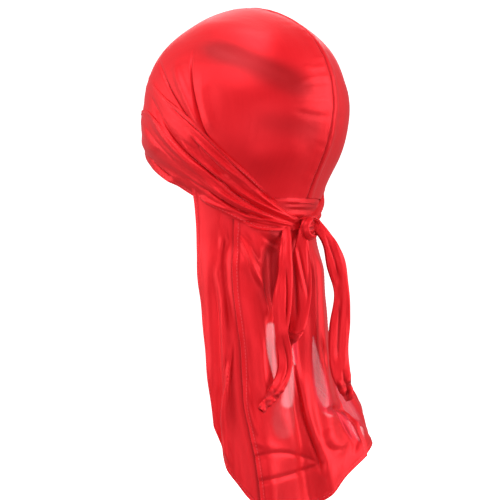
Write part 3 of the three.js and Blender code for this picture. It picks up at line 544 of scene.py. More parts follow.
class Form:
    """The shapes that the pieces share, in millimetres, from the sizes in the panel."""

    def __init__(self, sizes):
        for name in sizes.__annotations__:
            value = getattr(sizes, name)
            setattr(self, name, value if name in PLAIN_NUMBERS else value / MM)

    def head_point(self, angle, at):
        c, s = np.cos(angle * DEGREE), np.sin(angle * DEGREE)
        reach = np.where(c > 0, read_off(HEAD, "front", at), read_off(HEAD, "back", at))
        x = round_power(s) * read_off(HEAD, "side", at) * self.head_half_width
        y = -round_power(c) * reach * self.head_half_length
        return np.stack([x, y, -read_off(HEAD, "drop", at) * self.crown_depth + 0 * x], -1)

    def head_out(self, angle, at):
        return outward(self.head_point, angle, np.maximum(at, NEAR_TOP), 0.5, 0.003)

    def over_head(self, angle, at, height):
        top = rise(at, *TOP_TURN)[..., None]
        direction = unit(mix(UP, self.head_out(angle, at), top))
        return self.head_point(angle, at) + direction * np.asarray(height)[..., None]

    def strap_range(self, is_outer, signed_angle):
        angle = np.abs(signed_angle)
        left_share = rise(signed_angle, -STRAP_CROSS_ANGLE, STRAP_CROSS_ANGLE)
        low = left_share if is_outer else 1 - left_share
        edge = {name: read_off(STRAP_EDGES, name, angle) for name in list(STRAP_EDGES)[1:]}
        return mix(edge["high_top"], edge["low_top"], low), mix(edge["high_bottom"], edge["low_bottom"], low)

    def strap_height(self, is_outer, signed_angle, at):
        """Height over the head form of a strap's inner face, with its broad pleats."""
        top, bottom = self.strap_range(is_outer, signed_angle)
        other_top, other_bottom = self.strap_range(not is_outer, signed_angle)
        step = STRAP_STEP_SHARE
        ends = other_top - 2 * step, other_top - step / 2, other_bottom + step / 2, other_bottom + 2 * step
        covered = within(at, *ends)
        angle, across = np.abs(signed_angle), (at - top) / (bottom - top)
        pleats = 0
        for place, width, height, begin, end in STRAP_PLEATS:
            full = within(angle, begin, begin + PLEAT_RAMP_ANGLE, end, end + PLEAT_RAMP_ANGLE)
            pleats = pleats + self.strap_fold_depth * height * full * bell((across - place) / width)
        layer = self.layer_step
        lift = self.strap_knot_lift * rise(angle, STRAP_END_ANGLE - STRAP_LIFT_ANGLE, STRAP_END_ANGLE)
        drawn = 1 - STRAP_DRAWN_FLAT * rise(angle, *STRAP_DRAWN_ANGLES)
        if is_outer:
            return drawn * (layer + layer * covered + pleats) + lift
        return drawn * (layer + pleats * (1 - covered)) + lift

    def cape_spread(self, angle, drop):
        tables = CAPE_SPREAD, CAPE_FAR_SPREAD
        spread = {around: read_off(table, around, drop) for table in tables for around in list(table)[1:]}
        return smooth(list(spread), np.array([v + 0 * angle for v in spread.values()]), angle)

    def loose_share(self, below):
        return rise(below, self.cape_loose_from, self.cape_loose_from + self.cape_loose_over)

    def cape_point(self, angle, drop):
        below = drop * self.cape_length
        tight = self.head_point(angle, np.minimum(1 + below / self.crown_depth, HEAD["at"][-1]))
        spread = mix(1, self.cape_spread(angle, np.maximum(drop, 0)), self.loose_share(below))
        nape = self.head_point(angle, np.ones_like(angle))[..., 2]
        return np.stack([tight[..., 0] * spread, tight[..., 1] * spread, nape - below], -1)

    def cape_folds(self, angle, drop):
        height = 0
        for top_angle, bottom_angle, begin, end, width, high in CAPE_FOLDS:
            share = np.clip((drop - begin) / (end - begin), -0.2, 1.2)
            centre = mix(top_angle, bottom_angle, share)
            full = within(share, *HANGING_FADES)
            height = height + high * full * bell((angle - centre) / width)
        return self.cape_fold_depth * height * self.loose_share(drop * self.cape_length)

    def knot_centre(self):
        middle = self.head_point(np.array(180.0), np.array(KNOT_AT))
        return middle + np.array([0, 2 * self.layer_step + self.knot_half_depth, 0])

    def seen(self, points):
        """Where the camera sees points, in five-hundredths of the picture's side from its top left."""
        toward, right, place = camera_frame(self)
        away = self.camera_distance - points @ toward
        scale = self.lens / SENSOR * VIEW_SIDE / away
        x = VIEW_SIDE / 2 + (points - place) @ right * scale
        y = VIEW_SIDE / 2 - (points[..., 2] - place[2]) * scale
        return np.stack([x, y, 0 * x], -1)


SENSOR = 36
VIEW_SIDE = 500
PLAIN_NUMBERS = ("camera_azimuth", "lens")


def camera_frame(form):
    """The camera's direction from the head axis, its right, and its place."""
    azimuth = form.camera_azimuth
    toward = np.array([math.sin(azimuth), -math.cos(azimuth), 0])
    right = np.array([math.cos(azimuth), math.sin(azimuth), 0])
    place = toward * form.camera_distance + right * form.camera_aside
    return toward, right, place + np.array([0, 0, form.camera_height])


class Num:
    """A node's output that sums can be written with: each operator adds its Math node."""

    def __init__(self, nodes, socket):
        self.nodes, self.socket = nodes, socket

    def math(self, operation, *others, clamp=False):
        settings = {"operation": operation, "use_clamp": clamp}
        return self.nodes.add("ShaderNodeMath", settings, dict(enumerate((self, *others))))

    def __add__(self, other):
        return self.math("ADD", other)

    def __sub__(self, other):
        return self.math("SUBTRACT", other)

    def __rsub__(self, other):
        return self.nodes.add("ShaderNodeMath", {"operation": "SUBTRACT"}, {0: other, 1: self})

    def __mul__(self, other):
        return self.math("MULTIPLY", other)

    def __truediv__(self, other):
        return self.math("DIVIDE", other)

    __radd__ = __add__
    __rmul__ = __mul__

    def between(self, low, high):
        """0 below low, 1 above high, and smooth between."""
        inputs = {"Value": self, "From Min": low, "From Max": high}
        return self.nodes.add("ShaderNodeMapRange", {"interpolation_type": "SMOOTHSTEP"}, inputs)


class Nodes:
    """The node tree of one material. add() makes any node: its settings first, then its sockets."""

    def __init__(self, name):
        self.material = bpy.data.materials.new(name)
        self.material.use_nodes = True
        self.tree = self.material.node_tree
        self.tree.nodes.clear()

    def add(self, kind, settings=None, inputs=None, output=0):
        node = self.tree.nodes.new(kind)
        for key, value in (settings or {}).items():
            setattr(node, key, value)
        for key, value in (inputs or {}).items():
            if isinstance(value, Num):
                self.tree.links.new(value.socket, node.inputs[key])
            else:
                node.inputs[key].default_value = value
        return Num(self, node.outputs[output])

    def split(self, vector):
        """The three parts of a vector."""
        node = self.add("ShaderNodeSeparateXYZ", inputs={0: vector}).socket.node
        return [Num(self, part) for part in node.outputs]

    def mark(self, name):
        """A number that the cloth carries at each of its points."""
        return self.add("ShaderNodeAttribute", {"attribute_name": name}, output=2)

    def noise(self, vector, scale, detail):
        return self.add("ShaderNodeTexNoise", inputs={"Vector": vector, "Scale": scale, "Detail": detail})

    def colour_mix(self, share, first, second):
        first, second = (colour if isinstance(colour, Num) else (*colour, 1) for colour in (first, second))
        inputs = {"Factor": share, 6: first, 7: second}
        return self.add("ShaderNodeMix", {"data_type": "RGBA"}, inputs, output=2)

    def finish(self, inputs):
        """The material, ended in one shader with these inputs."""
        surface = self.add("ShaderNodeBsdfPrincipled", inputs=inputs)
        output = self.tree.nodes.new("ShaderNodeOutputMaterial")
        self.tree.links.new(surface.socket, output.inputs["Surface"])
        return self.material


# The cloth's weave: pitch of its threads in metres, how often floats, tones and crumples change in a metre,
# and their heights as shares of the bump.
WEAVE_PITCH = (0.0011, 0.0016)
FLOAT_RATE = (900, 28)
TONE_RATE = 26
CRUMPLE_RATE = 120
WEAVE_HEIGHT = 0.035
FLOAT_HEIGHT = 0.16
SHEEN_TINT = (1.0, 0.25, 0.3, 1)

# Each cloth: how streaky it is, in painted sheen and in its bump, how wrinkled, and whether light comes
# through it.
SATINS = {
    "satin_on_crown": (0.5, 0.35, False),
    "satin_on_straps": (1.0, 0.5, False),
    "satin_on_cape": (0.7, 0.5, True),
}


def satin(name, finish, streak, wrinkle, is_sheer):
    """Satin: a close weave with long floats whose lighter streaks are painted sheen, a soft sheen, painted
    shade in the folds, and deeper colour along hems and stitches.
    """
    nodes = Nodes(name)
    place = nodes.add("ShaderNodeUVMap", {"uv_map": "cloth"})
    across, along, _ = nodes.split(place)
    # The depth mark is painted shade in the folds; the hem mark darkens the hem and seam lines.
    depth, hem = nodes.mark("depth"), nodes.mark("hem")

    # Long floats along the cloth, whose lighter streaks in the colour are painted sheen, and slow changes of
    # tone at random.
    stretched = {0: across * FLOAT_RATE[0], 1: along * FLOAT_RATE[1]}
    floats = nodes.noise(nodes.add("ShaderNodeCombineXYZ", inputs=stretched), 1.0, 2.0)
    tone = nodes.noise(place, TONE_RATE, 3.0)
    threads = [part * (2 * math.pi / pitch) for part, pitch in zip((across, along), WEAVE_PITCH)]
    weave = threads[0].math("SINE") * threads[1].math("SINE")

    lightness = (floats - 0.5) * streak + (tone - 0.5) * 0.5 + 0.5
    colour = nodes.colour_mix(lightness, finish.satin, finish.satin_light)
    # Painted shade: the folds take the deep colour by their depth mark.
    colour = nodes.colour_mix(depth.between(0.0, 1.0) * 0.8, colour, finish.satin_deep)
    colour = nodes.colour_mix(hem * 0.7, colour, finish.satin_deep)

    crumple = nodes.noise(place, CRUMPLE_RATE, 4.0)
    height = crumple * wrinkle + floats * (FLOAT_HEIGHT * streak) + weave * WEAVE_HEIGHT
    bump = {"Strength": 0.35, "Distance": 0.0012, "Height": height}
    inputs = {
        "Base Color": colour,
        "Roughness": finish.roughness + (floats - 0.5) * 0.22 + depth * 0.08,
        "Normal": nodes.add("ShaderNodeBump", inputs=bump),
        "Metallic": 0.3,
        "Specular IOR Level": 0.8,
        "Specular Tint": SHEEN_TINT,
        "Anisotropic": 0.35,
        "Sheen Weight": finish.sheen,
        "Sheen Roughness": 0.4,
        "Sheen Tint": SHEEN_TINT,
    }
    if is_sheer:
        layer = nodes.mark("sheer")
        # Where the cloth is sheer its colour is lifted towards a bright red: painted light coming through
        # from behind.
        inputs["Base Color"] = nodes.colour_mix(layer.between(0.05, 1.0), colour, finish.satin_sheer)
        mesh = layer * ((floats - 0.5) * 0.5 + 1)
        inputs["Alpha"] = 1 - mesh.math("MULTIPLY", finish.see_through, clamp=True)
    return nodes.finish(inputs)


def thread_material(finish):
    """Sewing thread: twisted strands, from the satin's colour to a little lighter."""
    nodes = Nodes("satin_thread")
    x, _, z = nodes.split(nodes.add("ShaderNodeTexCoord", output=3))
    twist = (x * 5200 + z * 6400).math("SINE")
    colour = nodes.colour_mix(twist.between(-1, 1), finish.satin, finish.thread)
    normal = nodes.add("ShaderNodeBump", inputs={"Strength": 0.5, "Distance": 0.0001, "Height": twist})
    return nodes.finish({"Base Color": colour, "Roughness": 0.5 + twist * 0.06, "Normal": normal})


def material(name, finish):
    """One of the durag's finishes, made once."""
    made = bpy.data.materials.get(name)
    if made:
        return made
    if name in SATINS:
        return satin(name, finish, *SATINS[name])
    return thread_material(finish)


def across_grid(middle):
    """Directions square to a grid of points."""
    return unit(np.cross(np.gradient(middle, axis=0), np.gradient(middle, axis=1)))


def grid_normals(middle, away_from):
    """Directions out of a grid of points, away from a line or point inside it."""
    normals = across_grid(middle)
    return -normals if np.sum(normals * (middle - away_from)) < 0 else normals


def grid_faces(index, backward=False):
    """The faces between the points of a grid, from the points' numbers."""
    a, b, c, d = index[:-1, :-1], index[1:, :-1], index[1:, 1:], index[:-1, 1:]
    return np.stack([a, d, c, b] if backward else [a, b, c, d], -1).reshape(-1, 4)


def edge_distances(middle):
    """Distance over the cloth from the first and last column and from the first and last row."""
    out = []
    for axis in (0, 1):
        steps = np.linalg.norm(np.diff(middle, axis=axis), axis=-1)
        pad = [(0, 0), (0, 0)]
        pad[axis] = (1, 0)
        run = np.cumsum(np.pad(steps, pad), axis=axis)
        out += [run, np.take(run, [-1], axis=axis) - run]
    return out


def cloth_mesh(name, vertices, faces, uv, marks, finish):
    """A mesh object in metres with its cloth map and its marks."""
    mesh = bpy.data.meshes.new(name)
    mesh.from_pydata((vertices * MM).tolist(), [], faces)
    for mark, values in marks.items():
        mesh.attributes.new(mark, "FLOAT", "POINT").data.foreach_set("value", values.astype(np.float32))
    corners = np.zeros(len(mesh.loops), np.int32)
    mesh.loops.foreach_get("vertex_index", corners)
    layer = mesh.uv_layers.new(name="cloth")
    layer.uv.foreach_set("vector", (uv * MM)[corners].astype(np.float32).ravel())
    sheet = bmesh.new()
    sheet.from_mesh(mesh)
    bmesh.ops.remove_doubles(sheet, verts=sheet.verts, dist=1e-6)
    bmesh.ops.recalc_face_normals(sheet, faces=sheet.faces)
    sheet.to_mesh(mesh)
    sheet.free()
    mesh.shade_smooth()
    mesh.set_sharp_from_angle(angle=1.0)
    mesh.materials.append(finish)
    obj = bpy.data.objects.new(name, mesh)
    bpy.context.scene.collection.objects.link(obj)
    return obj


def shell(name, middle, normals, thickness, uv, marks, finish):
    """A closed sheet of cloth around a grid of points."""
    columns, rows = middle.shape[:2]
    half = normals * (np.asarray(thickness) + np.zeros((columns, rows)))[..., None] / 2
    vertices = np.concatenate([(middle + half).reshape(-1, 3), (middle - half).reshape(-1, 3)])
    index = np.arange(columns * rows).reshape(columns, rows)
    under = index + columns * rows
    faces = [grid_faces(index), grid_faces(under, backward=True)]
    for edge in (np.s_[0], np.s_[-1], np.s_[:, 0], np.s_[:, -1]):
        line, low = index[edge], under[edge]
        faces.append(np.stack([line[:-1], line[1:], low[1:], low[:-1]], -1))
    doubled = {mark: np.tile(values.ravel(), 2) for mark, values in marks.items()}
    flat_uv = np.tile(uv.reshape(-1, 2), (2, 1))
    return cloth_mesh(name, vertices, np.concatenate(faces).tolist(), flat_uv, doubled, finish)


# A stitch: places along its half length with the thread's size there, its half length as a share of the
# pitch, where the row is read ahead of it for its direction, and the thread's sides and flatness.
STITCH_STATIONS = ((-1, 0.25), (-0.6, 1), (0.6, 1), (1, 0.25))
STITCH_HALF_SHARE = 0.36
STITCH_AHEAD_SHARE = 0.3
THREAD_SIDES = 6
THREAD_FLATNESS = 0.7


def stitch_rings(form, centre, along, out):
    """Points round one stitch, from its first end to its last."""
    side = np.cross(out, along)
    for share, size in STITCH_STATIONS:
        ring = centre + along * share * form.stitch_pitch * STITCH_HALF_SHARE
        for k in range(THREAD_SIDES):
            turn = k * 2 * math.pi / THREAD_SIDES
            spoke = side * math.cos(turn) + out * math.sin(turn) * THREAD_FLATNESS
            yield ring + spoke * size * form.stitch_radius


def stitch_faces(first):
    """Faces of one stitch whose points are counted on from first."""
    n, last = THREAD_SIDES, first + THREAD_SIDES * (len(STITCH_STATIONS) - 1)
    faces = []
    for start in range(first, last, n):
        for k in range(n):
            a, b = start + k, start + (k + 1) % n
            faces.append((a, b, b + n, a + n))
    return faces + [tuple(first + k for k in reversed(range(n))), tuple(last + k for k in range(n))]


def point_along(points, run, place):
    """The point at a place along a row of points, whose lengths from its start are in run."""
    return np.array([np.interp(place, run, column) for column in points.T])


def stitch_rows(name, rows, form, finish):
    """Stitches laid end to end along rows of (points, normals), as one mesh."""
    vertices, faces, pitch = [], [], form.stitch_pitch
    for points, normals in rows:
        steps = np.linalg.norm(np.diff(points, axis=0), axis=1)
        run = np.concatenate([[0], np.cumsum(steps)])
        for place in np.arange(pitch, run[-1] - pitch, pitch):
            centre = point_along(points, run, place)
            ahead = point_along(points, run, place + pitch * STITCH_AHEAD_SHARE)
            faces += stitch_faces(len(vertices))
            out = unit(point_along(normals, run, place))
            vertices += stitch_rings(form, centre, unit(ahead - centre), out)
    vertices = np.array(vertices)
    return cloth_mesh(name, vertices, faces, vertices[:, [0, 2]], {}, material("satin_thread", finish))


def row_at(middle, normals, distance, inset, axis, lift):
    """The line over a grid at a distance from an edge, a little over the cloth."""
    runs, places, outs = (np.moveaxis(field, axis, 0) for field in (distance, middle, normals))
    line = []
    for k in range(runs.shape[1]):
        order = np.s_[::-1] if runs[0, k] > runs[-1, k] else np.s_[:]
        both = np.concatenate([places[order, k], outs[order, k]], -1)
        line.append([np.interp(inset, runs[order, k], column) for column in both.T])
    spots, outs = np.array(line)[:, :3], unit(np.array(line)[:, 3:])
    return spots + outs * lift, outs


def place_piece(obj, node=None):
    """Puts a piece on the body, in the place of a CAD node."""
    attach(obj, BODY)
    if node:
        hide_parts(node)


def length_setting(name, description, default, least=0.0):
    """A length in the panel, in metres."""
    return FloatProperty(name=name, description=description, default=default, min=least, unit="LENGTH")


def share_setting(name, description, default):
    """A share from 0 to 1 in the panel."""
    return FloatProperty(name=name, description=description, default=default, min=0, max=1, subtype="FACTOR")


def colour_setting(name, description, default):
    """A colour in the panel."""
    return FloatVectorProperty(
        name=name, description=description, default=default, size=3, min=0, max=1, subtype="COLOR"
    )


class DuragSizes(PropertyGroup):
    """Sizes of the durag and of its stage."""

    head_half_length: length_setting("Head half length", "Half the length inside the crown", 0.096, 0.06)
    head_half_width: length_setting("Head half width", "Half the width inside the crown", 0.075, 0.05)
    crown_depth: length_setting("Crown depth", "From the top of the head to the nape seam", 0.166, 0.1)
    cloth_thickness: length_setting("Cloth thickness", "Thickness of one layer of satin", 0.0007, 0.0002)
    layer_step: length_setting("Layer step", "Room that one layer and its air take", 0.0011, 0.0005)
    hem_width: length_setting("Hem width", "Width of the turned and stitched hems", 0.005, 0.001)
    seam_crest: length_setting("Seam crest", "Height of the ridge along the centre seam", 0.002)
    strap_fold_depth: length_setting("Strap fold depth", "Height of the broad pleats of a strap", 0.0012)
    strap_knot_lift: length_setting("Strap lift", "How far the straps rise into the knot", 0.0016)
    cape_length: length_setting("Cape length", "From the nape seam to the hem", 0.276, 0.05)
    cape_fold_depth: length_setting("Cape fold depth", "Height of the hanging folds", 0.009)
    cape_loose_from: length_setting("Cape leaves the head", "How far below the nape seam it does", 0.034)
    cape_loose_over: length_setting("Cape leaves over", "Length over which it leaves the head", 0.03, 0.001)
    knot_half_width: length_setting("Knot half width", "Half the width of the knot", 0.0085, 0.002)
    knot_half_depth: length_setting("Knot half depth", "Half the depth of the knot", 0.0056, 0.002)
    knot_half_height: length_setting("Knot half height", "Half the height of the knot", 0.008, 0.002)
    knot_collar_radius: length_setting("Knot collar radius", "Radius of its folded collars", 0.0027, 0.0005)
    tie_left_length: length_setting("Left tie length", "The tie on the wearer's left", 0.152, 0.02)
    tie_right_length: length_setting("Right tie length", "The tie on the wearer's right", 0.147, 0.02)
    tie_fold_length: length_setting("Left tie's fold", "Length of its second fold", 0.101, 0.02)
    tie_width: length_setting("Tie width", "Width of a folded tie", 0.016, 0.004)
    tie_thickness: length_setting("Tie thickness", "Thickness of a folded tie", 0.005, 0.001)
    stitch_pitch: length_setting("Stitch pitch", "Length from one stitch to the next", 0.003, 0.001)
    stitch_radius: length_setting("Thread radius", "Radius of the sewing thread", 0.00028, 0.0001)
    camera_distance: length_setting("Camera distance", "From the head axis to the camera", 1.5, 0.5)
    camera_height: length_setting("Camera height", "Its height over the top of the head", -0.2116, -5.0)
    camera_aside: length_setting("Camera aside", "How far the camera stands to its right", 0.00387, -1.0)
    camera_azimuth: FloatProperty(
        name="Camera azimuth",
        description="Turn from the front to the wearer's left",
        default=math.radians(130),
        subtype="ANGLE",
    )
    lens: FloatProperty(
        name="Lens", description="Focal length for a 36 mm sensor", default=122.8, min=10, unit="CAMERA"
    )
    floor_drop: length_setting("Floor drop", "From the top of the head down to the floor", 0.62, 0.46)


class DuragFinish(PropertyGroup):
    """Colours and finishes of the durag and of its stage."""

    satin: colour_setting("Satin", "Colour of the satin", (0.66, 0.005, 0.009))
    # Lighter colour for the floats' streaks, which are painted sheen, and for the random tone.
    satin_light: colour_setting("Satin light", "Its lighter threads", (0.78, 0.01, 0.016))
    # Painted shade in the folds; the same colour darkens the hem and seam lines.
    satin_deep: colour_setting("Satin deep", "Its colour inside folds", (0.27, 0.0, 0.001))
    # Painted light coming through the sheer places from behind.
    satin_sheer: colour_setting("Satin sheer", "Its colour where light comes through", (0.98, 0.04, 0.08))
    thread: colour_setting("Thread", "Colour of the stitches", (0.8, 0.05, 0.07))
    roughness: share_setting("Roughness", "Roughness of the satin", 0.43)
    sheen: share_setting("Sheen", "Strength of the satin's sheen", 0.22)
    see_through: share_setting("See-through", "How sheer each face of a single layer is at most", 0.6)
    stage: colour_setting("Stage", "Colour of the floor", (0.9, 0.9, 0.9))


# Columns and rows of each half of the crown. The columns are shifted by some degrees, and so stand closer at
# the front, the side and the back. The half away from the camera has a share of the height of its folds and
# of their painted shade.
CROWN_GRIDS = {1: (216, 158), -1: (160, 116)}
COLUMN_SHIFT = 7
FAR_SIDE_SHARE = 0.4

# The centre seam in millimetres: width of its ridge, its groove, half its gap, how far the right half is
# tucked under the left one, and the folded allowance beside it.
SEAM_CREST_WIDTH = 9
SEAM_GROOVE = 0.9
SEAM_HALF_GAP = 0.08
SEAM_TUCK = 0.8
SEAM_TUCK_DROP = 0.6
SEAM_ALLOWANCE = (1.0, 2.0, 6.2, 7.6)
SEAM_ALLOWANCE_HEIGHT = 0.4
SEAM_STITCH_OFF = 2.2

# The crown's height over the head form, how deep it is pressed under the straps, and the ramp to there.
CROWN_LIFT = 0.6
UNDER_STRAP_DROP = 0.8
UNDER_STRAP_RAMP = (0.005, 0.03)
INSIDE_HEAD = np.array([0, 0, -90])
INSIDE_STRAPS = np.array([0, 0, -100])


def half_crown(form, side):
    """Grid of half the crown, over the head form, with its relief and its painted shade."""
    around, down = CROWN_GRIDS[side]
    turn, share = spaced_grid((0, 1, around), (0, 1, down))
    angle = 180 * turn - COLUMN_SHIFT * np.sin(4 * math.pi * turn)
    at = read_off(RIM, "at", angle) * share
    here, out = form.head_point(angle, at), form.head_out(angle, at)
    height, facing = view_relief(form, here, out, CROWN_LINES)
    gathers = [Fold(head_line(form, points), w, h, lip) for points, w, h, lip in GATHER_LINES]
    height += relief(here, out, gathers) * (1 - facing)
    # Painted shade of the crown's broad hollows.
    shade = view_relief(form, here, out, CROWN_SHADES)[0]
    x = here[..., 0]
    tuck = 0 * x
    if side < 0:
        height, shade = FAR_SIDE_SHARE * height, FAR_SIDE_SHARE * shade
        height += SEAM_ALLOWANCE_HEIGHT * within(x, *SEAM_ALLOWANCE)
        tuck = bell(x / SEAM_TUCK)
    height += form.seam_crest * bell(x / SEAM_CREST_WIDTH) * rise(at, 0.02, 0.3)
    height += ripple("seam pucker", here, side) * np.exp(-x / SEAM_CREST_WIDTH) + ripple("crown", here, side)
    height -= SEAM_GROOVE * bell(x / SEAM_GROOVE)
    strap_top = read_off(STRAP_EDGES, "high_top", folded(angle))
    bare = 1 - rise(at, *(strap_top + end for end in UNDER_STRAP_RAMP))
    height = height * bare - UNDER_STRAP_DROP * (1 - bare)
    middle = form.over_head(angle, at, CROWN_LIFT + height - SEAM_TUCK_DROP * tuck)
    middle[..., 0] = (np.maximum(middle[..., 0], 0) + SEAM_HALF_GAP - SEAM_TUCK * tuck) * side
    # The second value is painted shade: deeper colour in the hollows of the relief and along the broad shade
    # lines.
    return middle, np.clip(-height / FULL_SHADE_DEPTH["crown"], 0, 1) * bare + shade, x


def head_line(form, points):
    """A fold line on the head, from its points as (angle, at)."""
    line = smooth_line([(a, 100 * b) for a, b in points], 28)
    return form.head_point(line[:, 0], line[:, 1] / 100)


class DURAG_OT_crown(Operator):
    """Make the two halves of the crown, sewn together along the centre"""

    bl_idname = "durag.crown"
    bl_label = "Crown"

    def execute(self, context):
        form, finish = Form(context.scene.durag_sizes), context.scene.durag_finish
        satin_crown = material("satin_on_crown", finish)
        rows = []
        for name, side in (("crown_left", 1), ("crown_right", -1)):
            middle, depth, x = half_crown(form, side)
            normals = grid_normals(middle, INSIDE_HEAD)
            normals[:, :2] = unit(mix(UP, normals[:, :2], 0.4))
            uv = np.stack([x, edge_distances(middle)[2]], -1)
            # The depth mark is painted shade in the hollows; the hem mark darkens the seam line.
            marks = {"depth": np.clip(depth, 0, 1), "hem": bell((x - 0.2) / SEAM_GROOVE)}
            sheet = shell(name + "_satin", middle, normals, form.cloth_thickness, uv, marks, satin_crown)
            place_piece(sheet, name)
            column = np.concatenate([middle[0, ::-1], middle[-1, 1:]])
            out = np.concatenate([normals[0, ::-1], normals[-1, 1:]])
            beside = column + np.array([side * SEAM_STITCH_OFF, 0, 0])
            rows.append(((beside + out * 0.45)[20:-2], out[20:-2]))
        place_piece(stitch_rows("centre_seam_stitches", rows, form, finish))
        return {"FINISHED"}


# Points along and across a strap, its cloth's width in millimetres, where its hems thicken as shares of
# their width, and how many points of its edges have no stitches at each end.
STRAP_GRID = (440, 56)
STRAP_CLOTH_WIDTH = 70
STRAP_HEM_RAMP = (0.6, 0.7)
STRAP_BARE_END = 30

# Fine pulled creases of a strap: how many, and the range that each of their measures is drawn from.
STREAK_COUNT = 12
STREAKS = {
    "start": (70, 115),
    "end": (125, 172),
    "place": (0.2, 0.8),
    "drift": (-0.06, 0.06),
    "height": (0.12, 0.3),
    "width": (1.1, 2.0),
    "lip": (-0.4, 0.4),
}


def strap_grid(form, is_outer):
    """Grid of a strap from its end on the left round the forehead to its end on the right."""
    along, across = STRAP_GRID
    signed, share = spaced_grid((STRAP_END_ANGLE, -STRAP_END_ANGLE, along), (0, 1, across))
    at = mix(*form.strap_range(is_outer, signed), share)
    here = form.over_head(signed, at, form.strap_height(is_outer, signed, at) + STRAP_AIR)
    out = grid_normals(here, INSIDE_STRAPS)
    fine, facing = view_relief(form, here, out, STRAP_LINES, full_at=0.55)
    streaks = [
        strap_fold(form, is_outer, side, *line)
        for side in (1, -1)
        for line in fine_streaks(STREAK_SEED + 2 * side + is_outer)
    ]
    fine += relief(here, out, streaks)
    front = [strap_fold(form, is_outer, 1, *line) for line in FRONT_LINES]
    fine += relief(here, out, front) * (1 - facing)
    return here, out, fine, signed, share


def strap_fold(form, is_outer, side, points, width, high, lip):
    """A fold line along a strap, from its points as (angle, share across)."""
    line = smooth_line([(a * side, 100 * b) for a, b in points], 40)
    angle = line[:, 0]
    at = mix(*form.strap_range(is_outer, angle), line[:, 1] / 100)
    lift = form.strap_height(is_outer, angle, at) + STRAP_AIR
    return Fold(form.over_head(angle, at, lift), width, high, lip * side)


def fine_streaks(seed):
    """Fine pulled creases that run along a strap."""
    rng = np.random.default_rng(seed)

    def draw(measure):
        return rng.uniform(*STREAKS[measure])

    lines = []
    for k in range(STREAK_COUNT):
        start, end = draw("start"), draw("end")
        place = (k + draw("place")) / STREAK_COUNT
        drift = draw("drift")
        high = draw("height") * (1 if k % 2 else -1)
        points = ((start, place), ((start + end) / 2, place + drift), (end, place - drift))
        lines.append((points, draw("width"), high, draw("lip")))
    return lines


class DURAG_OT_straps(Operator):
    """Make the two straps, crossed on the forehead and drawn to the nape"""

    bl_idname = "durag.straps"
    bl_label = "Straps"

    def execute(self, context):
        form, finish = Form(context.scene.durag_sizes), context.scene.durag_finish
        satin_strap = material("satin_on_straps", finish)
        rows = []
        for name, is_outer in (("strap_outer", True), ("strap_inner", False)):
            here, out, fine, signed, share = strap_grid(form, is_outer)
            middle = here + out * fine[..., None]
            normals = grid_normals(middle, INSIDE_STRAPS)
            edge = edge_distances(middle)
            hem = 1 - rise(np.minimum(edge[2], edge[3]), *(end * form.hem_width for end in STRAP_HEM_RAMP))
            pinch = rise(90 - np.abs(np.abs(signed) - 90), 0, 30)
            thickness = form.cloth_thickness * (1 + 0.6 * hem * pinch)
            uv = np.stack([share * STRAP_CLOTH_WIDTH, edge[0]], -1)
            # The depth mark is painted shade in the strap's creases.
            marks = {"depth": np.clip(-fine / FULL_SHADE_DEPTH["strap"], 0, 1), "hem": 0 * hem}
            sheet = shell(name + "_satin", middle, normals, thickness, uv, marks, satin_strap)
            place_piece(sheet, name)
            for distance in edge[2:]:
                points, outs = row_at(middle, normals, distance, 0.55 * form.hem_width, 1, 0.6)
                rows.append((points[STRAP_BARE_END:-STRAP_BARE_END], outs[STRAP_BARE_END:-STRAP_BARE_END]))
        place_piece(stitch_rows("strap_stitches", rows, form, finish))
        return {"FINISHED"}


# The cape in millimetres: how far it reaches up under the straps, its height over the broad form, how deep
# and where its top is pressed in, how deep a side panel lies under the back panel, how much sooner it counts
# as loose, how far in from its edges its ruffles and its curl fade, and the height of the curl.
CAPE_OVERLAP = 3.5
CAPE_LIFT = 0.7
CAPE_TOP_PRESS = 1.5
CAPE_TOP_RAMP = (3, 6.5)
CAPE_SUNK = 2.3
CAPE_FREE_LEAD = 14
RUFFLE_REACH = 10
CURL_REACH = 4
CAPE_CURL = 1.6

# The slow waves of the cape are drawn out downwards: their points are scaled by this first.
CAPE_HANGING = np.array([1, 1, 0.35])

# How sheer the cape is at least once it hangs free, where down it that sets in, and the share of its sheer
# places that the far panel has.
BASE_SHEER = 0.05
BASE_SHEER_RAMP = (0.3, 0.6)
FAR_SHEER_SHARE = 0.85

# Panels of the cape: columns and rows, edges and their laps in degrees, whether it lies under the back
# panel, its fold lines, its flat size in metres and its flat area in square metres.
CapePanel = namedtuple("CapePanel", "columns rows edges is_under lines flat area")
MAIN_SIDES = (("main_left", 0), ("main_right", 0))
LEFT_SIDES = (("side_front", 0), ("main_left", PANEL_LAP_ANGLE))
RIGHT_SIDES = (("main_right", -PANEL_LAP_ANGLE), ("far_front", 0))
CAPE_PANELS = {
    "cape_main": CapePanel(170, 230, MAIN_SIDES, False, MAIN_LINES, (0.135, 0.28), 0.033),
    "cape_left": CapePanel(70, 200, LEFT_SIDES, True, SIDE_LINES, (0.062, 0.27), 0.0138),
    "cape_right": CapePanel(70, 200, RIGHT_SIDES, True, SIDE_LINES, (0.09, 0.25), 0.0185),
}


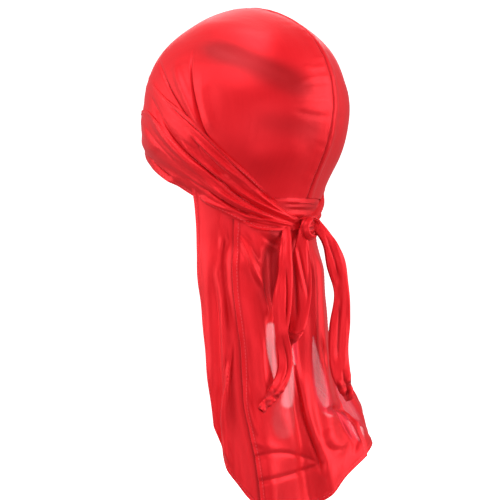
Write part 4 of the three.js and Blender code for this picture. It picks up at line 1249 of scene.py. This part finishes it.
def cape_grid(form, panel):
    """Grid of a panel of the cape, with its hanging folds."""

    def edge_pair(drop):
        return [read_off(PANEL_EDGES, name, drop) + lap for name, lap in panel.edges]

    u, v = spaced_grid((0, 1, panel.columns), (0, 1, panel.rows))
    hem_angle = mix(*edge_pair(HEM_EDGE_SHARE), u)
    top_angle = mix(*edge_pair(0), u)
    top = (read_off(RIM, "at", folded(top_angle)) - 1) * form.crown_depth - CAPE_OVERLAP
    drop = mix(top / form.cape_length, read_off(CAPE_HEM, "drop", hem_angle), v)
    angle = mix(*edge_pair(np.maximum(drop, 0)), u)
    pressed = CAPE_TOP_PRESS * (1 - rise(drop * form.cape_length - top, *CAPE_TOP_RAMP))
    height = CAPE_LIFT - pressed + form.cape_folds(angle, drop)
    if panel.is_under:
        height = height - CAPE_SUNK * under_main(angle, drop)
    out = outward(form.cape_point, angle, drop, 1, 0.01)
    return form.cape_point(angle, drop) + out * height[..., None], angle, drop


def under_main(angle, drop):
    """1 where a side panel lies under the back panel."""
    left = read_off(PANEL_EDGES, "main_left", drop) - PANEL_LAP_ANGLE / 2
    right = read_off(PANEL_EDGES, "main_right", drop) + PANEL_LAP_ANGLE / 2
    return within(angle, left - PANEL_LAP_ANGLE, left, right, right + PANEL_LAP_ANGLE)


def sheer_place(seen, line):
    """1 inside a sheer place and 0 outside, with a soft edge."""
    spots = seen.reshape(-1, 3)[:, None, :2]
    gap = np.min(np.linalg.norm(spots - line[:, :2], axis=-1) / line[:, 2], axis=1)
    return (1 - rise(gap, 0.6, 1.3)).reshape(seen.shape[:-1])


def cape_relief(form, name, number, base, out, free, from_left, nearest):
    """Folds, waves, ruffles and curled edge of a panel."""
    is_main = name == "cape_main"
    fine = view_relief(form, base, out, CAPE_PANELS[name].lines, mirrored=not is_main)[0] * free
    ruffle = ripple("cape edge", base, number) * np.exp(-nearest / RUFFLE_REACH)
    fine += free * (ripple("main panel" if is_main else "side panel", base * CAPE_HANGING, number) + ruffle)
    if is_main:
        fine += free * CAPE_CURL * np.exp(-from_left / CURL_REACH)
        fine += view_relief(form, base, out, NAPE_LINES)[0]
    return fine


def cape_shade(form, name, base, out, angle, drop):
    """Painted shade of a panel: the back panel's hollows, and the shadow of the back panel's edge along the
    left panel's lap.
    """
    if name == "cape_main":
        return view_relief(form, base, out, MAIN_SHADES, mirrored=False)[0]
    if name == "cape_left":
        return 0.7 * bell((angle - read_off(PANEL_EDGES, "main_left", drop) + 1.0) / 1.9)
    return 0 * angle


def cape_sheer(form, name, base, drop):
    """How much light comes through a panel: its see-through share, which also lifts the colour as painted
    light from behind.
    """
    sheer = BASE_SHEER * rise(drop, *BASE_SHEER_RAMP)
    if name == "cape_left":
        return sheer
    layer_share = 1 if name == "cape_main" else FAR_SHEER_SHARE
    for share, points in SHEER_PLACES:
        sheer = np.maximum(sheer, layer_share * share * sheer_place(form.seen(base), smooth_line(points, 30)))
    return sheer


class DURAG_OT_cape(Operator):
    """Make the three panels of the cape, hemmed and stitched"""

    bl_idname = "durag.cape"
    bl_label = "Cape"

    def execute(self, context):
        form, finish = Form(context.scene.durag_sizes), context.scene.durag_finish
        satin_cape = material("satin_on_cape", finish)
        rows = []
        for number, (name, panel) in enumerate(CAPE_PANELS.items()):
            base, angle, drop = cape_grid(form, panel)
            out = grid_normals(base, base * UP)
            free = form.loose_share(drop * form.cape_length + CAPE_FREE_LEAD)
            edge = edge_distances(base)
            nearest = np.minimum(np.minimum(edge[0], edge[1]), edge[3])
            fine = cape_relief(form, name, number, base, out, free, edge[0], nearest)
            middle = base + out * fine[..., None]
            normals = grid_normals(middle, middle * UP)
            hem = 1 - rise(nearest, form.hem_width, form.hem_width + 0.9)
            thickness = form.cloth_thickness * (0.85 + 0.8 * hem)
            uv = np.stack([edge[0], edge[2]], -1)
            # Painted shade: deeper colour in the hollows, along the back panel's shade lines and in the
            # painted shadow along the left panel's lap.
            hollow = np.clip(-fine / FULL_SHADE_DEPTH["cape"], 0, 1) * free
            marks = {
                "depth": np.clip(hollow + cape_shade(form, name, base, out, angle, drop), 0, 1),
                "hem": 0.5 * bell((nearest - form.hem_width) / 0.8),
                "sheer": cape_sheer(form, name, base, drop) * (1 - hem),
            }
            sheet = shell(name + "_satin", middle, normals, thickness, uv, marks, satin_cape)
            place_piece(sheet, name)
            for k, axis in ((0, 0), (1, 0), (3, 1)):
                points, outs = row_at(middle, normals, edge[k], 0.75 * form.hem_width, axis, 0.55)
                rows.append((points[4:-4], outs[4:-4]))
        place_piece(stitch_rows("cape_stitches", rows, form, finish))
        return {"FINISHED"}


# Points along and around a tie, where its crumpled tip begins and is full, how high it is crumpled, how far
# its section sways, and how its waves are drawn out downwards.
TIE_GRID = (216, 56)
TIE_TIP = (0.84, 0.93)
TIP_CRUMPLE = {"tie_left": 0.75, "tie_left_fold": 0.2, "tie_right": 0.75}
TIE_SWAY = 0.3
TIE_HANGING = np.array([1, 1, 0.25])


def tie_grid(form, run, length, side, side_on):
    """Grid of a tie: its folded section swept down its run."""
    along, around = TIE_GRID
    share = np.linspace(run["down"][0], 1, along)
    past_knot = TIE_SIDE_GAP + side_on * run["width"][0] * form.tie_width / 2
    root = form.knot_centre() + np.array([side * (form.knot_half_width + past_knot), TIE_OFF_KNOT, 0])

    def centre(share):
        aside, out = (read_off(run, name, share) * length for name in ("aside", "out"))
        return root + np.stack([aside, out, -share * length], -1)

    down = unit(centre(share + 0.004) - centre(share - 0.004))
    turn = read_off(run, "turn", share) * DEGREE
    flat = np.stack([np.cos(turn), -np.sin(turn), 0 * turn], -1)
    across = -unit(np.cross(np.cross(flat, down), down))
    section = smooth_line(TIE_SECTION, around)
    wide, deep = section[:, 0], section[:, 1]
    width = read_off(run, "width", share) * form.tie_width / 2
    thick = read_off(run, "thick", share) * form.tie_thickness / 2
    depth = deep + TIE_SWAY * np.sin(share * 8 + side)[:, None] * wide * (1 - wide**2)
    offset = across[:, None] * (wide * width[:, None])[..., None]
    offset = offset + np.cross(down, across)[:, None] * (depth * thick[:, None])[..., None]
    return centre(share)[:, None] + offset


class DURAG_OT_ties(Operator):
    """Make the two ties, folded lengthwise, that hang from the knot"""

    bl_idname = "durag.ties"
    bl_label = "Ties"

    def execute(self, context):
        form, finish = Form(context.scene.durag_sizes), context.scene.durag_finish
        satin_strap = material("satin_on_straps", finish)
        runs = (
            ("tie_left", TIE_LEFT, form.tie_left_length, 1, 0.1),
            ("tie_left_fold", TIE_FOLD, form.tie_fold_length, 1, 0),
            ("tie_right", TIE_RIGHT, form.tie_right_length, -1, 0.5),
        )
        for name, run, length, side, side_on in runs:
            base = tie_grid(form, run, length, side, side_on)
            out = grid_normals(base, base.mean(1, keepdims=True))
            fine = view_relief(form, base, out, TIE_LINES[name], mirrored=False)[0]
            tip = rise(np.linspace(0, 1, len(base)), *TIE_TIP)[:, None]
            crumple = ripple("tip", base, side)
            # Painted shade: deeper colour in the hollows of the folds and over the crumpled tip.
            hollow = np.clip(-fine / FULL_SHADE_DEPTH["tie"], 0, 1)
            shade = np.maximum(hollow, tip * np.clip(0.62 - 0.45 * crumple, 0.2, 1))
            fine = fine + ripple("tie", base * TIE_HANGING, side) + TIP_CRUMPLE[name] * tip * crumple
            middle = base + out * fine[..., None]
            normals = across_grid(middle)
            edge = edge_distances(middle)
            uv = np.stack([edge[2], edge[0]], -1)
            marks = {"depth": shade, "hem": 0 * fine}
            sheet = shell(name + "_satin", middle, normals, form.cloth_thickness, uv, marks, satin_strap)
            place_piece(sheet, None if name == "tie_left_fold" else name)
            length * MM
        return {"FINISHED"}


# Points of the knot's core and collars, the half height and half width of a collar's section as shares of
# its radius, its creases as (turn, drift, middle, width, depth), and how close to its poles the skin of the
# core comes.
CORE_GRID = (80, 100)
COLLAR_GRID = (90, 56)
COLLAR_SECTION = (0.6, 1.45)
COLLAR_CREASES = ((-0.9, 0.8, 1.1, 0.28, 0.24), (1.4, -0.5, 1.6, 0.22, 0.16))
POLE = 0.02


class DURAG_OT_knot(Operator):
    """Make the knot: a wrapped core under two folded collars"""

    bl_idname = "durag.knot"
    bl_label = "Knot"

    def execute(self, context):
        form, finish = Form(context.scene.durag_sizes), context.scene.durag_finish
        cloth = material("satin_on_straps", finish)
        centre = form.knot_centre()
        size = np.array([form.knot_half_width, form.knot_half_depth, form.knot_half_height])
        tip, turn = spaced_grid((POLE, math.pi - POLE, CORE_GRID[0]), (0, 2 * math.pi, CORE_GRID[1]))
        wrap = 1.0 - 0.1 * (1 - np.cos(5 * tip + turn)) / 2 - 0.05 * (1 - np.cos(11 * tip + 3 * turn)) / 2
        round_part = np.sin(tip) * wrap
        ball = np.stack([round_part * np.cos(turn), round_part * np.sin(turn), 0.9 * np.cos(tip)], -1)
        # The core's depth mark is painted shade: a little all over, and deepest in the grooves of its wrap.
        core = closed_mesh("knot_core", centre + ball * size, np.clip((1.0 - wrap) * 6 + 0.15, 0, 1), cloth)
        place_piece(core, "knot")
        for k, points in enumerate(KNOT_COLLARS):
            rings, crease = knot_collar(form, centre, smooth_line(points, COLLAR_GRID[0]) * size)
            # A collar's depth mark is painted shade in its creases.
            collar = closed_mesh(f"knot_collar_{k + 1}", rings, np.clip(crease * 4, 0, 1), cloth)
            place_piece(collar, None)
        return {"FINISHED"}


def knot_collar(form, centre, run):
    """Rings of a folded band along a run over the knot, and its creases."""
    path = centre + run
    ahead = unit(np.gradient(path, axis=0))
    up = path - centre
    up = unit(up - (up * ahead).sum(-1, keepdims=True) * ahead)
    side = np.cross(ahead, up)
    share, turn = spaced_grid((0, 1, COLLAR_GRID[0]), (0, 2 * math.pi, COLLAR_GRID[1]))
    taper = form.knot_collar_radius * (0.25 + 0.75 * within(share, 0, 0.25, 0.75, 1))
    crease = 0
    for start, drift, middle, width, deep in COLLAR_CREASES:
        crease = crease + deep * bell((np.mod(turn + start + drift * share, 2 * math.pi) - middle) / width)
    high, wide = COLLAR_SECTION
    section = high * np.cos(turn)[..., None] * up[:, None] + wide * np.sin(turn)[..., None] * side[:, None]
    return path[:, None] + (taper * (1 - crease))[..., None] * section, crease


def closed_mesh(name, rings, depth, cloth):
    """A closed skin over rings of points whose first and last columns meet."""
    index = np.arange(rings[..., 0].size).reshape(rings.shape[:2])
    faces = grid_faces(index).tolist() + [index[0, :-1].tolist(), index[-1, :-1][::-1].tolist()]
    # The depth mark is painted shade in the folds.
    marks = {"depth": depth.ravel(), "hem": 0 * depth.ravel()}
    run = edge_distances(rings)
    uv = np.stack([run[2], run[0]], -1).reshape(-1, 2)
    return cloth_mesh(name, rings.reshape(-1, 3), faces, uv, marks, cloth)


# The stage in metres: radius of the flat floor and of the sweep into its wall, and the wall's top. Then its
# points around, the rings of floor and sweep, how much its paper glows, and the strength of the sky.
FLOOR_REACH = 4.2
FLOOR_SWEEP = 1.6
WALL_TOP = 3.4
FLOOR_SIDES = 96
FLOOR_RINGS, SWEEP_RINGS = 30, 24
FLOOR_GLOW = 0.85
SKY_STRENGTH = 0.38
LIGHT_TARGET = (0, 0, -0.2)

# Soft lights: place towards the camera, to its right and up, size, and power in watts.
LIGHTS = {
    "key_light": ((1.25, -0.85, 1.5), (1.3, 1.3), 29),
    "top_light": ((0.1, -0.3, 1.7), (1.0, 1.0), 14),
    "right_light": ((0.45, 1.55, 0.1), (0.8, 1.6), 25),
    "left_light": ((0.1, -1.8, 0.1), (0.7, 1.6), 16),
    "low_light": ((1.6, -0.2, -0.55), (1.5, 0.7), 9),
    "far_light": ((-1.8, 0, 0.9), (1.4, 1.4), 14),
}


def stage_paper(finish):
    """Pale matt paper that glows a little, so that it stays white."""
    nodes = Nodes("stage_paper")
    grain = nodes.add("ShaderNodeTexNoise", inputs={"Scale": 60.0, "Detail": 2.0})
    colour = nodes.colour_mix(grain * 0.25, finish.stage, (0.97, 0.97, 0.97))
    glow = {"Emission Color": (1, 1, 1, 1), "Emission Strength": FLOOR_GLOW}
    return nodes.finish({"Base Color": colour, "Roughness": 0.85, **glow})


def stage_floor(form, finish):
    """A round floor that sweeps up into a wall all round."""
    bend = np.linspace(0, math.pi / 2, SWEEP_RINGS)[1:]
    flat = np.linspace(0, FLOOR_REACH, FLOOR_RINGS)[1:]
    radii = np.concatenate([flat, FLOOR_REACH + FLOOR_SWEEP * np.sin(bend), [FLOOR_REACH + FLOOR_SWEEP]])
    rises = np.concatenate([0 * flat, FLOOR_SWEEP * (1 - np.cos(bend)), [WALL_TOP]]) - form.floor_drop * MM
    turns = np.linspace(0, 2 * math.pi, FLOOR_SIDES, endpoint=False)
    points = [(r * math.cos(t), r * math.sin(t), z) for r, z in zip(radii, rises) for t in turns]
    index = np.arange(len(points)).reshape(len(radii), FLOOR_SIDES)
    faces = grid_faces(np.concatenate([index, index[:, :1]], 1), backward=True).tolist()
    mesh = bpy.data.meshes.new("stage_floor")
    mesh.from_pydata(points, [], [*faces, index[0, ::-1].tolist()])
    mesh.shade_smooth()
    mesh.materials.append(stage_paper(finish))
    return bpy.data.objects.new("stage_floor", mesh)


def area_light(name, place, size, energy):
    data = bpy.data.lights.new(name, "AREA")
    data.shape, data.size, data.size_y, data.energy = "RECTANGLE", *size, energy
    obj = bpy.data.objects.new(name, data)
    obj.location = place
    obj.rotation_euler = (Vector(LIGHT_TARGET) - Vector(place)).to_track_quat("-Z", "Y").to_euler()
    return obj


class DURAG_OT_stage(Operator):
    """Make the floor, the soft lights and the camera"""

    bl_idname = "durag.stage"
    bl_label = "Stage"

    def execute(self, context):
        form, scene = Form(context.scene.durag_sizes), context.scene
        floor = stage_floor(form, scene.durag_finish)
        scene.collection.objects.link(floor)
        floor.visible_diffuse = floor.visible_glossy = False

        toward, right, place = camera_frame(form)
        axes = np.array([toward, right, UP])
        for name, (where, size, energy) in LIGHTS.items():
            scene.collection.objects.link(area_light(name, np.array(where) @ axes, size, energy))

        scene.world = bpy.data.worlds.new("studio")
        scene.world.use_nodes = True
        background = scene.world.node_tree.nodes["Background"]
        background.inputs["Color"].default_value = (1, 1, 1, 1)
        background.inputs["Strength"].default_value = SKY_STRENGTH
        scene.view_settings.view_transform = "Standard"

        camera = bpy.data.cameras.new("camera")
        camera.lens, camera.sensor_width = form.lens, SENSOR
        view = bpy.data.objects.new("camera", camera)
        turn = Matrix(np.array([right, UP, toward]).T.tolist())
        view.matrix_world = Matrix.Translation(Vector(place * MM)) @ turn.to_4x4()
        scene.collection.objects.link(view)
        scene.camera = view
        return {"FINISHED"}


class DURAG_PT_panel(Panel):
    """The durag's sizes, finishes and pieces"""

    bl_idname = "DURAG_PT_panel"
    bl_label = "Durag"
    bl_space_type = "VIEW_3D"
    bl_region_type = "UI"
    bl_category = "Durag"

    def draw(self, context):
        for operator in OPERATORS:
            self.layout.operator(operator.bl_idname)
        for group in (context.scene.durag_sizes, context.scene.durag_finish):
            box = self.layout.box()
            for name in group.__annotations__:
                box.prop(group, name)


OPERATORS = (DURAG_OT_crown, DURAG_OT_straps, DURAG_OT_cape, DURAG_OT_knot, DURAG_OT_ties, DURAG_OT_stage)
CLASSES = (DuragSizes, DuragFinish, *OPERATORS, DURAG_PT_panel)


def register():
    for one in CLASSES:
        bpy.utils.register_class(one)
    bpy.types.Scene.durag_sizes = PointerProperty(type=DuragSizes)
    bpy.types.Scene.durag_finish = PointerProperty(type=DuragFinish)


def unregister():
    del bpy.types.Scene.durag_finish
    del bpy.types.Scene.durag_sizes
    for one in reversed(CLASSES):
        bpy.utils.unregister_class(one)


def main():
    register()
    bpy.ops.durag.crown()
    bpy.ops.durag.straps()
    bpy.ops.durag.cape()
    bpy.ops.durag.knot()
    bpy.ops.durag.ties()
    bpy.ops.durag.stage()


if __name__ == "__main__":
    main()
